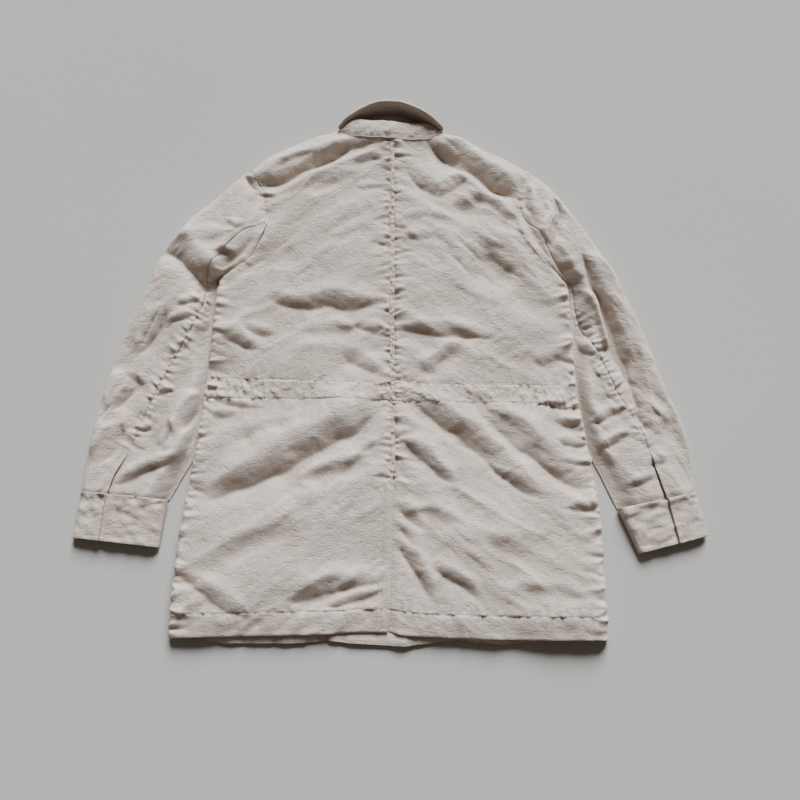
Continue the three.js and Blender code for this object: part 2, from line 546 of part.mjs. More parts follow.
/** The front collar: a wall that stands as an arch on the fronts' upper edge. */
function collarFront() {
  const foot = 2 * (CLOTH + SEAM_GAP);
  const shares = [0, 0.35, 0.7, 1];
  const grid = shares.map((share) => Array.from({ length: COLLAR_STEPS + 1 }, (_, j) => {
    const row = (j / COLLAR_STEPS) * (COLLAR_ARCH.length - 1);
    const top = column(COLLAR_ARCH, 'top', row);
    return {
      x: column(COLLAR_ARCH, 'x', row),
      y: column(COLLAR_ARCH, 'y', row),
      z: between(foot, top, share),
    };
  }));
  const middle = new THREE.Vector3(0, COLLAR_ARCH[0].y - 40, 0);
  const into = grid.map((line) => line.map((p) =>
    new THREE.Vector3(middle.x - p.x, middle.y - p.y, 0).normalize()));
  return piece('collar_front', wall(grid, moved(grid, into, COLLAR_CLOTH)));
}

/** Sections of a sleeve: inner and outer place, seam share and crown for each row. */
function sleeveSections(side) {
  const table = SLEEVE_ROWS[side];
  const sign = side === 'left' ? -1 : 1;
  const armhole = rowList(BODY_ROWS).filter((row) => row <= SHARED_ROW);
  const edge = armhole.map((row) =>
    bodyPlan(side, column(BODY_ROWS, `${side}X`, row), row, BACK_TOP, BACK_HEM));
  const away = edge.map((_, i) => {
    const [a, b] = [edge[Math.max(i - 1, 0)], edge[Math.min(i + 1, edge.length - 1)]];
    const length = Math.hypot(b.x - a.x, b.y - a.y);
    return { x: sign * Math.abs(b.y - a.y) / length, y: sign * (b.x - a.x) / length };
  });
  const upper = armhole.map((row, i) => ({
    innerX: edge[i].x + away[i].x * 2 * SEAM_GAP,
    innerY: edge[i].y + away[i].y * 2 * SEAM_GAP,
    outerX: column(table, 'outerX', row),
    outerY: column(table, 'outerY', row),
    seam: Math.max(column(table, 'seam', row), 0),
    crown: column(table, 'crown', row),
    inner: column(BODY_ROWS, 'side', row),
    closed: Math.min(Math.max(column(BODY_ROWS, 'closed', row), 0), 1),
  }));
  const last = upper[upper.length - 1];
  const spacing = last.innerY - table[SHARED_ROW + 1].innerY;
  const lowerTable = table.map((row, i) => (i > SHARED_ROW ? row : {
    ...row,
    innerX: last.innerX,
    innerY: last.innerY + (SHARED_ROW - i) * spacing,
  }));
  const lower = rowList(table).filter((row) => row > SHARED_ROW).map((row) => ({
    innerX: column(lowerTable, 'innerX', row),
    innerY: column(lowerTable, 'innerY', row),
    outerX: column(table, 'outerX', row),
    outerY: column(table, 'outerY', row),
    seam: column(table, 'seam', row),
    crown: column(table, 'crown', row),
    inner: SLEEVE_INNER,
    closed: 1,
  }));
  return [...upper, ...lower];
}

/** Width of a sleeve's section in plan. */
function across(section) {
  return Math.hypot(section.outerX - section.innerX, section.outerY - section.innerY);
}

/** A point of a sleeve's upper layer at share f across, from the inner to the outer edge. */
function sleeveTop(section, f) {
  const x = between(section.innerX, section.outerX, f);
  const y = between(section.innerY, section.outerY, f);
  const width = across(section);
  const crown = between(section.inner, section.crown, smooth(0, 0.4, f));
  const innerRoll = 1 - section.closed * (1 - roll(f * width, SIDE_ROLL));
  const outerRoll = roll((1 - f) * width, SLEEVE_ROLL);
  const rise = crown + folds(x, y) - RIM;
  const low = between(SLEEVE_EDGE, RIM, smooth(0.4, 0, f));
  return { x, y, z: low + (rise + RIM - low) * innerRoll * outerRoll };
}

/** A point of a sleeve's lower layer at share f across. */
function sleeveBottom(section, f) {
  const width = across(section);
  const lift = SLEEVE_EDGE * (1 - roll((1 - f) * width, SLEEVE_EDGE));
  return {
    x: between(section.innerX, section.outerX, f),
    y: between(section.innerY, section.outerY, f),
    z: lift,
  };
}

/** Shares across a section, from a start to 1, crowded towards the outer edge. */
function towardsEdge(start, count, section) {
  const width = across(section);
  const close = [12, 6, 2].map((distance) => 1 - Math.min(distance / width, 0.25 * (distance / 12)));
  const even = Array.from({ length: count }, (_, k) => between(start, close[0], k / count));
  return [...even, ...close];
}

/** Sheet round a sleeve's outer edge, from its back seam over the top to the inner edge below. */
function outerWrap(sections, name, cloth, startGap) {
  const grid = sections.map((section) => {
    const width = across(section);
    const start = section.seam + (section.seam > 0 ? startGap / width : 0);
    const top = towardsEdge(start, 5, section).map((f) => sleeveTop(section, f));
    const edge = sleeveTop(section, 1);
    const [near, far] = EDGE_POINTS.map((distance) => distance / width);
    const bottom = [1 - Math.min(near, 0.15), 1 - Math.min(far, 0.4), 0.4, 0].map((f) =>
      sleeveBottom(section, f));
    return [...top, edge, ...bottom];
  });
  return piece(name, sheetInside(grid, cloth));
}

/** Solid of a sheet whose outer points are given, its thickness laid inside. */
function sheetInside(grid, cloth) {
  const directions = inward(grid);
  const mid = directions[Math.floor(grid.length / 2)][2];
  const turn = mid.z > 0 ? -1 : 1;
  const last = grid[0].length - 1;
  const into = directions.map((line) => line.map((n, j) => {
    if (j === 0) {
      return DOWN.clone();
    }
    return j === last ? new THREE.Vector3(0, 0, 1) : n.clone().multiplyScalar(turn);
  }));
  return wall(grid, moved(grid, into, cloth));
}

/** Upper layer of a sleeve between its back seam and its inner edge. */
function innerPanel(sections, name, sign) {
  const used = sections.filter((section) => section.seam > 0.08);
  const grid = used.map((section) => {
    const width = across(section);
    const rolled = Math.min(SIDE_ROLL / 3 / width, section.seam / 3);
    const even = [0.3, 0.6, 0.85].map((share) => between(rolled, section.seam, share));
    return [0, rolled / 3, rolled, ...even, section.seam - SEAM_GAP / width].map((f) =>
      sleeveTop(section, f));
  });
  const last = grid[0].length - 1;
  const directions = inward(grid);
  const turn = directions[Math.floor(grid.length / 2)][last - 1].z > 0 ? -1 : 1;
  const into = directions.map((line, i) => line.map((n, j) => {
    if (j === 0 && used[i].closed > 0.9) {
      return new THREE.Vector3(sign, 0, 0);
    }
    return j === 0 || j === last ? DOWN.clone() : n.multiplyScalar(turn);
  }));
  return piece(name, wall(grid, moved(grid, into, CLOTH)), 1.02);
}

/** Cuff: a band round the sleeve's end, open at its slit. */
function cuff(side) {
  const rows = Array.from({ length: CUFF_STEPS + 1 }, (_, i) =>
    (i * (CUFF_ROWS[side].length - 1)) / CUFF_STEPS);
  const keys = ['innerX', 'innerY', 'outerX', 'outerY', 'seam', 'crown'];
  const grid = rows.map((row) => {
    const section = { inner: SLEEVE_INNER, closed: 1 };
    keys.forEach((key) => {
      section[key] = column(CUFF_ROWS[side], key, row);
    });
    const width = across(section);
    const slit = SLIT_HALF / width;
    const over = towardsEdge(section.seam + slit, 3, section).map((f) => sleeveTop(section, f));
    const edge = sleeveTop(section, 1);
    const [near, far] = EDGE_POINTS.map((distance) => distance / width);
    const under = [1 - near, 1 - far, 0.6, 0.3].map((f) => sleeveBottom(section, f));
    const turn = [10, 4].map((d) => ({ ...sleeveBottom(section, d / width) }));
    const inner = sleeveBottom(section, 0);
    inner.z = SLEEVE_EDGE;
    turn[1].z = 0.6;
    const back = [3, 8, 16].map((d) => sleeveTopSoft(section, d / width));
    const end = [0.35, 0.5].map((f) => sleeveTopSoft(section, f));
    const last = sleeveTopSoft(section, section.seam - slit);
    return [...over, edge, ...under, ...turn, inner, ...back, ...end, last];
  });
  const directions = inward(grid);
  const turn = directions[1][1].z > 0 ? -1 : 1;
  const into = directions.map((line) => line.map((n, j) =>
    (j === 0 || j === line.length - 1 ? DOWN.clone() : n.multiplyScalar(turn))));
  return piece(`cuff_${side}`, wall(grid, moved(grid, into, COLLAR_CLOTH)), 1.02);
}

/** A cuff's upper layer on its inner side, which rolls round like the outer one. */
function sleeveTopSoft(section, f) {
  const width = across(section);
  const x = between(section.innerX, section.outerX, f);
  const y = between(section.innerY, section.outerY, f);
  const rise = roll(f * width, SLEEVE_ROLL) * roll((1 - f) * width, SLEEVE_ROLL);
  return { x, y, z: SLEEVE_EDGE + (section.crown - SLEEVE_EDGE + folds(x, y)) * rise };
}

/** The three pieces of one sleeve. */
function sleevePieces(side) {
  const sections = sleeveSections(side);
  const sign = side === 'left' ? -1 : 1;
  return [
    outerWrap(sections, `sleeve_${side}_upper`, CLOTH, SEAM_GAP),
    innerPanel(sections, `sleeve_${side}_under`, sign),
    cuff(side),
  ];
}

const parka = new THREE.Group();
for (const side of ['left', 'right']) {
  parka.add(...backPieces(side), frontPiece(side), ...sleevePieces(side));
}
parka.add(collarBack(), collarFront());

export default parka;
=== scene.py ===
"""Cloth, sewing and studio for a parka that lies face down on the floor, its back uppermost.

Sizes are in millimetres, as on a maker's pattern, and become metres where a mesh is made.
Left and right are the wearer's, which are also -X and +X. +Y runs from the hem to the collar.
"""

import logging
import math
from dataclasses import dataclass, field
from enum import Enum
from typing import Sequence

import bpy
import numpy as np
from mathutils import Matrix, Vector
from mathutils.bvhtree import BVHTree


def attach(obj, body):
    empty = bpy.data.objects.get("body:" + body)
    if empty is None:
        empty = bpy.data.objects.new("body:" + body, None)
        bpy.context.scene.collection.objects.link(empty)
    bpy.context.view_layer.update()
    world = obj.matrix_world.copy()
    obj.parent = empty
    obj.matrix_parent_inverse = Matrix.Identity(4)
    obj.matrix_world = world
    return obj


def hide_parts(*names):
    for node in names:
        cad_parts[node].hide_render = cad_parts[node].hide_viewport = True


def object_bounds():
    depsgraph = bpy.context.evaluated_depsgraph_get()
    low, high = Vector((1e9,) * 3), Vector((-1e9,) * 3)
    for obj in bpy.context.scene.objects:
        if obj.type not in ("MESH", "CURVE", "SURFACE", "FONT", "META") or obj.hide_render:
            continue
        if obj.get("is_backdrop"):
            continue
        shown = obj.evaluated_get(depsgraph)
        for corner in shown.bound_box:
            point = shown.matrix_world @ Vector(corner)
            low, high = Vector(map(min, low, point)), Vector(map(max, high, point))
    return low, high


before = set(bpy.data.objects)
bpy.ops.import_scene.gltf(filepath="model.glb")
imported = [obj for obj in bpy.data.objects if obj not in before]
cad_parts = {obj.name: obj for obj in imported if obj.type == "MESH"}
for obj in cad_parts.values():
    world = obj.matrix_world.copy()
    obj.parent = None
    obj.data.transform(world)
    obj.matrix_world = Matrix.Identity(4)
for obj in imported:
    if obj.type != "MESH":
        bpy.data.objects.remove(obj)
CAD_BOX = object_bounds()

Array = np.ndarray
Point = tuple[float, float]
Colour = tuple[float, float, float]
log = logging.getLogger("parka")

MM = 0.001
BODY = "root"

CLOTH = 0.7                # one layer of shell cloth
FULL_RELIEF = 2.5          # height above or below the cloth round it at which the painted highlight and wear on crests, and the painted shade in hollows, reach full strength
DOUBLE_CLOTH = 1.3         # collar and cuffs, made double
SEAM_GAP = 0.35            # between two pieces that are sewn together
RIM = 2.0                  # height at which a top layer meets the layer below it
HEM_DROOP = 5.5            # how far the hem's edge hangs below its stitching
HEM_DEPTH = 34.0           # from its stitching to its edge
HEM_STEP = 0.4             # how far the cloth steps down at its stitching
SIDE_EDGE = 8.0            # height of the back's side seam, which lies over the sleeve
TUCK = 1.6                 # how far the lower piece reaches under the upper one at a seam
TUCK_DROP = 0.95           # how far below the upper one's face it lies there
SIDE_ROLL = 11.0           # width over which the back rolls down to its side seam
SHOULDER_ROLL = 9.0        # width over which it rolls down at the shoulders
SLEEVE_ROLL = 13.0         # width over which a sleeve rolls round its outer edge
SLEEVE_EDGE = 5.0          # height of that edge above the floor
SLEEVE_INNER = 18.0        # height of a sleeve beside the body, below the underarm
ROLL_FULLNESS = 2.2        # how square the shoulders' and sleeves' rolls are, 2 being round
SIDE_FULLNESS = 2.4        # the same for the roll at the side seam
VENT_TOP = -186.0          # Y of the vent's upper end
VENT_UNDERLAP = 58.0       # how far the right back reaches under the left one below it
VENT_STEP = 13.0           # width beside the seam over which it steps down
VENT_DROP = 3.4            # how far it steps down
VENT_RUN = 34.0            # length over which the underlap comes to its full width
FRONT_LEFT_EDGE = 21.0     # X of the left front's free edge
FRONT_RIGHT_EDGE = -92.0   # X of the right one's, which lies on top
NECK_HALF_WIDTH = 89.0
SHOULDER_STARTS = (81.0, 103.0)    # distances from the centre between which its roll begins
COLLAR_SEAM_Y = 376.5      # Y of the collar's seam at the centre
UNDERARM_ROW = 8           # these four are rows of BODY_ROWS
SHARED_ROW = 9             # the last one that gives a sleeve's inner edge too
CASING_TOP_ROW = 11
CASING_FOOT_ROW = 13


class Side(Enum):
    """The wearer's side, by the sign of its X."""

    LEFT = -1
    RIGHT = 1

    @property
    def word(self) -> str:
        """Name of the side in the names of pieces."""
        return self.name.lower()


class Profile(Enum):
    """Cross-section of a fold."""

    SLOPE = "slope"        # a crest on the left hand of its line and a trough on the right
    RIDGE = "ridge"        # a soft ridge, or a trough where its height is negative
    CREASE = "crease"      # a sharp pressed line


def between(a: float | Array, b: float | Array, share: float | Array) -> float | Array:
    """Value at a share of the way from a to b."""
    return a + (b - a) * share


def smooth(low: float, high: float, value: float | Array) -> float | Array:
    """Smooth step from 0 at low to 1 at high."""
    t = np.clip((value - low) / (high - low), 0.0, 1.0)
    return t * t * (3.0 - 2.0 * t)


def roll(distance: float | Array, width: float, fullness: float = 2.0) -> float | Array:
    """Rounded edge: 0 at the edge and 1 at the roll's full width from it.

    Args:
        distance: Distance in from the edge.
        width: Width of the roll.
        fullness: 2 for a quarter circle, and more for a squarer edge.

    Returns:
        The share of the full height.
    """
    t = 1.0 - np.clip(distance / width, 0.0, 1.0)
    return np.maximum(1.0 - t**fullness, 0.0) ** (1.0 / fullness)


class Table:
    """Rows of named columns, read at any fraction of a row on one smooth curve."""

    def __init__(self, columns: str, rows: Sequence[tuple[float, ...]]) -> None:
        """Keeps the rows by the names of their columns.

        Args:
            columns: Names of the columns, with spaces between them.
            rows: One tuple of values for each row.
        """
        self.values = dict(zip(columns.split(), np.array(rows, float).T))
        self.last = len(rows) - 1

    def at(self, key: str, row: float | Array) -> Array:
        """Catmull-Rom value of a column.

        Args:
            key: Name of the column.
            row: Row, which may be a fraction.

        Returns:
            The value at each row that is asked for.
        """
        row = np.asarray(row, float)
        column = self.values[key]
        start = np.clip(np.floor(row).astype(int), 0, self.last - 1)
        t = row - start
        a, b, c, d = (column[np.clip(start + k, 0, self.last)] for k in (-1, 0, 1, 2))
        return b + 0.5 * t * (c - a + t * (2 * a - 5 * b + 4 * c - d + t * (3 * (b - c) + d - a)))

    def parts(self, count: int) -> Array:
        """All the rows, with a number of steps from each to the next."""
        return np.linspace(0, self.last, self.last * count + 1)

    def places(self, row: Array, prefix: str = "") -> Array:
        """Places in plan, one row each, from the columns whose names end in x and y."""
        return np.stack([self.at(f"{prefix}{axis}", row) for axis in "xy"], axis=1)


# The back from the shoulders to the hem: each row's place at the centre seam and at both edges,
# the heights of the cloth across it, and closed, which is 1 where the side seam is sewn.
BODY_ROWS = Table(
    "mid_x mid_y left_x left_y right_x right_y centre middle side closed",
    [
        (0, 376, -236, 322, 226, 325, 34, 17, 15, 0),
        (0, 345, -215, 300, 217, 300, 30, 20, 17, 0),
        (0, 300, -206, 271, 212, 271, 26, 24, 19, 0),
        (0, 250, -202, 236, 211, 236, 24, 26, 21, 0),
        (0, 220, -210, 211, 217, 211, 23, 26, 21, 0),
        (0, 192, -223, 184, 230, 187, 22, 26, 19, 0.05),
        (1, 170, -242, 162, 246, 168, 22, 26, 18, 0.2),
        (1, 148, -262, 150, 264, 150, 22, 26, 18, 0.55),
        (1, 130, -277, 136, 281, 132, 21, 26, 18, 1),
        (1, 98, -281, 104, 287, 104, 21, 25, 19, 1),
        (2, 40, -285, 40, 290, 40, 20, 22, 17, 1),
        (3, -32, -290, -24, 293, -36, 18, 19, 15, 1),
        (3, -46, -292, -40, 295, -52, 18, 19, 15, 1),
        (3, -60, -294, -56, 297, -67, 18, 19, 15, 1),
        (4, -120, -301, -120, 306, -120, 19, 22, 17, 1),
        (4, -186, -311, -186, 317, -186, 19, 24, 19, 1),
        (3, -262, -321, -262, 323, -262, 19, 25, 21, 1),
        (1, -330, -327, -330, 324, -330, 17, 24, 22, 1),
        (0, -376, -330, -378, 325, -382, 15, 23, 23, 1),
        (-3, -410, -331, -418, 326, -421, 13.5, 22, 24, 1),
    ],
)
BACK_TOP = Table(
    "x y",
    [
        (-236, 322), (-213, 342), (-184, 360), (-151, 377), (-119, 391), (-90, 396),
        (-67, 382), (-34, 377), (0, 376), (31, 376), (64, 380), (88, 391),
        (115, 385), (148, 367), (181, 351), (213, 332), (226, 325),
    ],
)
BACK_HEM = Table(
    "x y",
    [
        (-331, -418), (-203, -415), (-92, -413), (-58, -410), (-3, -410),
        (24, -415), (89, -418), (138, -420), (234, -421), (326, -421),
    ],
)
FRONT_HEM = Table(
    "x y",
    [
        (-331, -420), (-246, -427), (-142, -427), (-92, -423), (-60, -427), (21, -431.5),
        (95, -423), (120, -425), (165, -429), (205, -427), (326, -423),
    ],
)
COLLAR_ARCH = Table(
    "x y top",
    [
        (-87.5, 397.5, 26), (-73, 408, 34), (-54, 419, 41), (-35, 427, 45),
        (-16, 431, 46), (0, 431.5, 46), (15, 430, 46), (31, 425, 45),
        (48, 418, 43), (65, 409, 38), (80, 398, 31), (86.5, 394, 26),
    ],
)

# Sleeves. Rows up to SHARED_ROW start on the body's edge. seam is the back seam's share across.
SLEEVE_COLUMNS = "inner_x inner_y outer_x outer_y seam crown"
SLEEVE_ROWS = {
    Side.LEFT: [
        (0, 0, -243, 321, 0, 13), (0, 0, -266, 300, 0, 18), (0, 0, -291, 276, 0, 22),
        (0, 0, -312, 256, 0, 25), (0, 0, -331, 239, 0.24, 27), (0, 0, -347, 216, 0.32, 27),
        (0, 0, -358, 204, 0.3, 27), (0, 0, -369, 187, 0.24, 27), (0, 0, -379, 165, 0.18, 27),
        (0, 0, -393, 126, 0.16, 26),
        (-287.5, 56, -411, 84, 0.22, 23), (-291, 4, -428, 36, 0.34, 20),
        (-296.5, -52, -447, -30, 0.46, 20), (-304, -112, -463, -102, 0.56, 20),
        (-310, -150, -470, -145, 0.62, 19), (-326, -185, -474, -176, 0.67, 18),
        (-342, -215, -477, -202, 0.68, 18),
    ],
    Side.RIGHT: [
        (0, 0, 233, 321, 0, 13), (0, 0, 254, 305, 0, 18), (0, 0, 275, 281, 0, 22),
        (0, 0, 294, 253, 0.1, 25), (0, 0, 309, 232, 0.26, 26), (0, 0, 323, 212, 0.24, 26),
        (0, 0, 337, 190, 0.18, 26), (0, 0, 350, 167, 0.14, 26), (0, 0, 363, 144, 0.12, 26),
        (0, 0, 376, 114, 0.12, 25),
        (293, 56, 392, 78, 0.14, 23), (294.5, 5, 409, 34, 0.33, 20),
        (299, -52, 429, -28, 0.43, 20), (306.5, -104, 454, -90, 0.54, 20),
        (314, -144, 465, -130, 0.56, 19), (331, -186, 468, -168, 0.58, 18),
        (350, -228, 471, -203, 0.6, 18),
    ],
}
CUFF_ROWS = {
    Side.LEFT: [
        (-343, -216, -477, -203.5, 0.68, 18), (-348, -250, -482, -238, 0.67, 16.5),
        (-353, -286, -486.5, -271, 0.67, 13.5),
    ],
    Side.RIGHT: [
        (350.5, -229, 472, -204, 0.6, 18), (364, -260, 480, -236, 0.58, 16.5),
        (379, -295, 486.5, -268, 0.56, 13.5),
    ],
}


def travel(line: Array) -> Array:
    """Distance of each point of a line from its start."""
    return np.concatenate([[0], np.cumsum(np.hypot(*np.diff(line, axis=0).T))])


def smooth_line(points: Sequence[Point], step: float = 6.0) -> Array:
    """Points of a smooth line through the given ones.

    Args:
        points: Places in plan.
        step: Distance between the points of the result.

    Returns:
        An array of places, one row each.
    """
    table = Table("x y", points)
    line = table.places(table.parts(12))
    along = travel(line)
    places = np.linspace(0, along[-1], max(int(along[-1] / step), 2) + 1)
    return np.stack([np.interp(places, along, line[:, k]) for k in (0, 1)], axis=1)


def nearest(line: Array, x: Array, y: Array) -> tuple[Array, Array]:
    """Nearest place of a line to each point.

    Args:
        line: Points of the line.
        x: X of the points.
        y: Y of the points.

    Returns:
        The distance, positive on the left hand of the line's travel, and the place along it.
    """
    best = np.full(x.shape, np.inf)
    signed, place = np.zeros(x.shape), np.zeros(x.shape)
    steps = np.diff(line, axis=0)
    lengths = np.hypot(steps[:, 0], steps[:, 1])
    starts = np.concatenate([[0], np.cumsum(lengths)])
    for (ax, ay), (dx, dy), length, start in zip(line, steps, lengths, starts):
        t = np.clip(((x - ax) * dx + (y - ay) * dy) / length**2, 0, 1)
        ox, oy = x - ax - t * dx, y - ay - t * dy
        away = np.hypot(ox, oy)
        nearer = away < best
        best = np.where(nearer, away, best)
        signed = np.where(nearer, np.where(dx * oy - dy * ox < 0, -away, away), signed)
        place = np.where(nearer, start + t * length, place)
    return signed, place


def near(line: Array, x: Array, y: Array, reach: float) -> Array:
    """Which points lie in the line's box, widened by a reach."""
    low, high = line.min(axis=0) - reach, line.max(axis=0) + reach
    return (x > low[0]) & (x < high[0]) & (y > low[1]) & (y < high[1])


class AlongLine:
    """What raises the cloth near a line in plan."""

    line: tuple[Point, ...]

    def span(self) -> float:
        """Distance from the line beyond which nothing is raised."""
        raise NotImplementedError

    def raised(self, signed: Array, place: Array, length: float) -> Array:
        """Height beside the line.

        Args:
            signed: Distance from the line, positive on its left hand.
            place: Distance along the line.
            length: Length of the line.

        Returns:
            The height for each distance, in millimetres.
        """
        raise NotImplementedError

    def height(self, x: Array, y: Array) -> Array:
        """Height that is added at each point.

        Args:
            x: X of the points.
            y: Y of the points.

        Returns:
            The height at each point, in millimetres.
        """
        line = smooth_line(self.line)
        total = np.zeros(x.shape)
        mask = near(line, x, y, self.span())
        signed, place = nearest(line, x[mask], y[mask])
        total[mask] = self.raised(signed, place, np.hypot(*np.diff(line, axis=0).T).sum())
        return total


@dataclass(frozen=True)
class Fold(AlongLine):
    """A fold, trough or pressed crease along a line in plan."""

    line: tuple[Point, ...]
    half: float                          # half its width
    drop: float                          # height between its crest and its trough
    profile: Profile = Profile.SLOPE
    fade: float = 0.3                    # share of its length over which each end runs out
    sharp: float = 1.0                   # 1 for a soft fold, less for a crisper trough

    def span(self) -> float:
        """Distance from the line beyond which nothing is raised."""
        return 6 * self.half

    def raised(self, signed: Array, place: Array, length: float) -> Array:
        """Height beside the line, where the fold wavers a little in width and in drop.

        Args:
            signed: Distance from the line, positive on its left hand.
            place: Distance along the line.
            length: Length of the line.

        Returns:
            The height for each distance, in millimetres.
        """
        share = place / length
        taper = smooth(0, self.fade, share) * smooth(0, self.fade, 1 - share)
        seed_x, seed_y = self.line[0]
        waver = 1 + 0.12 * np.sin(place / 23 + seed_x) + 0.06 * np.sin(place / 9.7 + seed_y)
        half = self.half * waver * between(0.35, 1.0, taper)
        taper = taper * (1 + 0.1 * np.sin(place / 21 + seed_x + seed_y))
        return self.drop * taper * self.section(signed, half)

    def section(self, signed: Array, half: Array) -> Array:
        """Cross-section of a fold that is 1 mm high.

        Args:
            signed: Distance from the line, positive on its left hand.
            half: Half width of the fold there.

        Returns:
            The height for each distance.
        """
        off = signed / half
        if self.profile is Profile.RIDGE:
            return np.exp(-(off**2))
        if self.profile is Profile.CREASE:
            return np.exp(-np.abs(off) * 1.4)
        if self.sharp == 1:
            return 0.5 * off * np.exp((1 - off**2) / 2)
        fallen = np.clip((1 - off) / 2, 0, 1)
        past = np.maximum(np.abs(off) - 1, 0)
        beyond = np.where(off < 0, np.exp(-1.1 * past / self.sharp), np.exp(-0.8 * past**1.6))
        return (0.5 - fallen ** (1 + 2.4 * (1 - self.sharp))) * beyond


@dataclass(frozen=True)
class Gather(AlongLine):
    """Short puckers that run off a seam on one or both sides, uneven in place and size."""

    line: tuple[Point, ...]
    spacing: float
    depth: float
    reach: float
    left: float = 1.0                    # share of the depth on the left hand of the line
    right: float = 1.0
    width: float = 0.26                  # half width of a pucker against the spacing
    seed: int = 1

    def span(self) -> float:
        """Distance from the line beyond which nothing is raised."""
        return 3 * self.reach

    def raised(self, signed: Array, place: Array, length: float) -> Array:
        """Height of the puckers beside the line.

        Args:
            signed: Distance from the line, positive on its left hand.
            place: Distance along the line.
            length: Length of the line.

        Returns:
            The height for each distance, in millimetres.
        """
        away = np.abs(signed)
        count = max(int(length / self.spacing), 1)
        rng = np.random.default_rng(self.seed)
        added = np.zeros(signed.shape)
        for sign, amount in ((1, self.left), (-1, self.right)):
            centres = (np.arange(count) + 0.5 + rng.uniform(-0.4, 0.4, count)) * length / count
            sizes = rng.uniform(0.3, 1.0, count) * self.depth * amount
            sizes = sizes * rng.choice((-1, 1), count, p=(0.6, 0.4))
            reaches = self.reach * rng.uniform(0.5, 1.5, count)
            slants = rng.uniform(-0.35, 0.35, count)
            on_side = signed * sign > 0
            for centre, size, reach, slant in zip(centres, sizes, reaches, slants):
                half = self.spacing * self.width * (1 + 0.5 * away / self.reach)
                off = (place - centre - slant * away) / half
                added += np.where(on_side, size * np.exp(-(off**2) - (away / reach) ** 1.6), 0)
        return added


@dataclass(frozen=True)
class Grain:
    """Uneven cloth: smooth random hills of one size, longer one way than the other."""

    cell_x: float
    cell_y: float
    height_mm: float
    turn: float = 0.0                    # radians by which the long way is turned
    seed: int = 1

    def height(self, x: Array, y: Array) -> Array:
        """Height that the hills add at each point.

        Args:
            x: X of the points.
            y: Y of the points.

        Returns:
            The height at each point, in millimetres.
        """
        size = 211
        hills = np.random.default_rng(self.seed).uniform(-1, 1, (size, size))
        u = (x * math.cos(self.turn) + y * math.sin(self.turn)) / self.cell_x + 50.3
        v = (y * math.cos(self.turn) - x * math.sin(self.turn)) / self.cell_y + 70.7
        i, j = np.floor(u).astype(int), np.floor(v).astype(int)
        s, t = (p**3 * (p * (6 * p - 15) + 10) for p in (u - i, v - j))
        a, b = hills[i % size, j % size], hills[(i + 1) % size, j % size]
        c, d = hills[i % size, (j + 1) % size], hills[(i + 1) % size, (j + 1) % size]
        return self.height_mm * between(between(a, b, s), between(c, d, s), t)


@dataclass(frozen=True)
class Crumple:
    """Crisp cloth: small facets with sharp creases between them."""

    cell_x: float
    cell_y: float
    depth: float                         # positive for sharp ridges, negative for sharp valleys
    turn: float = 0.0
    seed: int = 1

    def height(self, x: Array, y: Array) -> Array:
        """Height that the facets add at each point.

        Args:
            x: X of the points.
            y: Y of the points.

        Returns:
            The height at each point, in millimetres.
        """
        hills = Grain(self.cell_x, self.cell_y, 1.0, self.turn, self.seed).height(x, y)
        patches = Grain(4 * self.cell_x, 4 * self.cell_y, 1.0, 0, self.seed + 1).height(x, y)
        return self.depth * (0.3 - np.sqrt(hills**2 + 0.0016)) * between(0.4, 1.4, patches**2)


@dataclass(frozen=True)
class Fanned:
    """Uneven cloth whose long way runs down and outward from the centre seam on both sides."""

    part: Grain | Crumple

    def height(self, x: Array, y: Array) -> Array:
        """Height that the part adds at each point, turned the other way on the left."""
        off = np.abs(x - 2)
        return self.part.height(off, y + np.where(x < 2, 613.0, 0.0)) * smooth(0, 16, off)


@dataclass
class Relief:
    """All that raises or lowers a sheet from its plain form."""

    parts: list[AlongLine | Grain | Crumple | Fanned]
    stray: float = 2.6                   # how far folds stray from their drawn lines

    def height(self, x: Array, y: Array) -> Array:
        """Sum of the heights at each point. Seams stay where they are drawn.

        Args:
            x: X of the points.
            y: Y of the points.

        Returns:
            The height at each point, in millimetres.
        """
        far, little = self.stray, self.stray / 4
        strayed_x = x + Grain(30, 24, far, seed=17).height(x, y)
        strayed_x += Grain(9, 7, little, seed=18).height(x, y)
        strayed_y = y + Grain(28, 20, far, seed=19).height(x, y)
        strayed_y += Grain(8, 6, little, seed=20).height(x, y)
        total = np.zeros(np.shape(x))
        for part in self.parts:
            drawn = isinstance(part, Gather) or part in SEAM_GROOVES
            total += part.height(x, y) if drawn else part.height(strayed_x, strayed_y)
        return total


def total_height(x: Array, y: Array, *parts: Grain | Crumple | AlongLine) -> Array:
    """Sum of the heights that a few parts add at each point."""
    return sum(part.height(x, y) for part in parts)


def slope(half: float, drop: float, *line: Point, **more: float) -> Fold:
    """A fold with a crest on the left hand of its line and a trough on the right."""
    return Fold(line, half, drop, **more)


def ridge(half: float, rise: float, *line: Point, **more: float) -> Fold:
    """A soft ridge, or a trough where rise is negative."""
    return Fold(line, half, rise, Profile.RIDGE, **more)


def crease(half: float, rise: float, *line: Point, **more: float) -> Fold:
    """A sharp pressed line, sunk where rise is negative."""
    return Fold(line, half, rise, Profile.CREASE, **more)


def body_edge(side: Side, rows: Sequence[int]) -> tuple[Point, ...]:
    """Places of the body's edge on one side, at whole rows."""
    x, y = (BODY_ROWS.values[f"{side.word}_{axis}"] for axis in "xy")
    return tuple((float(x[row]), float(y[row])) for row in rows)


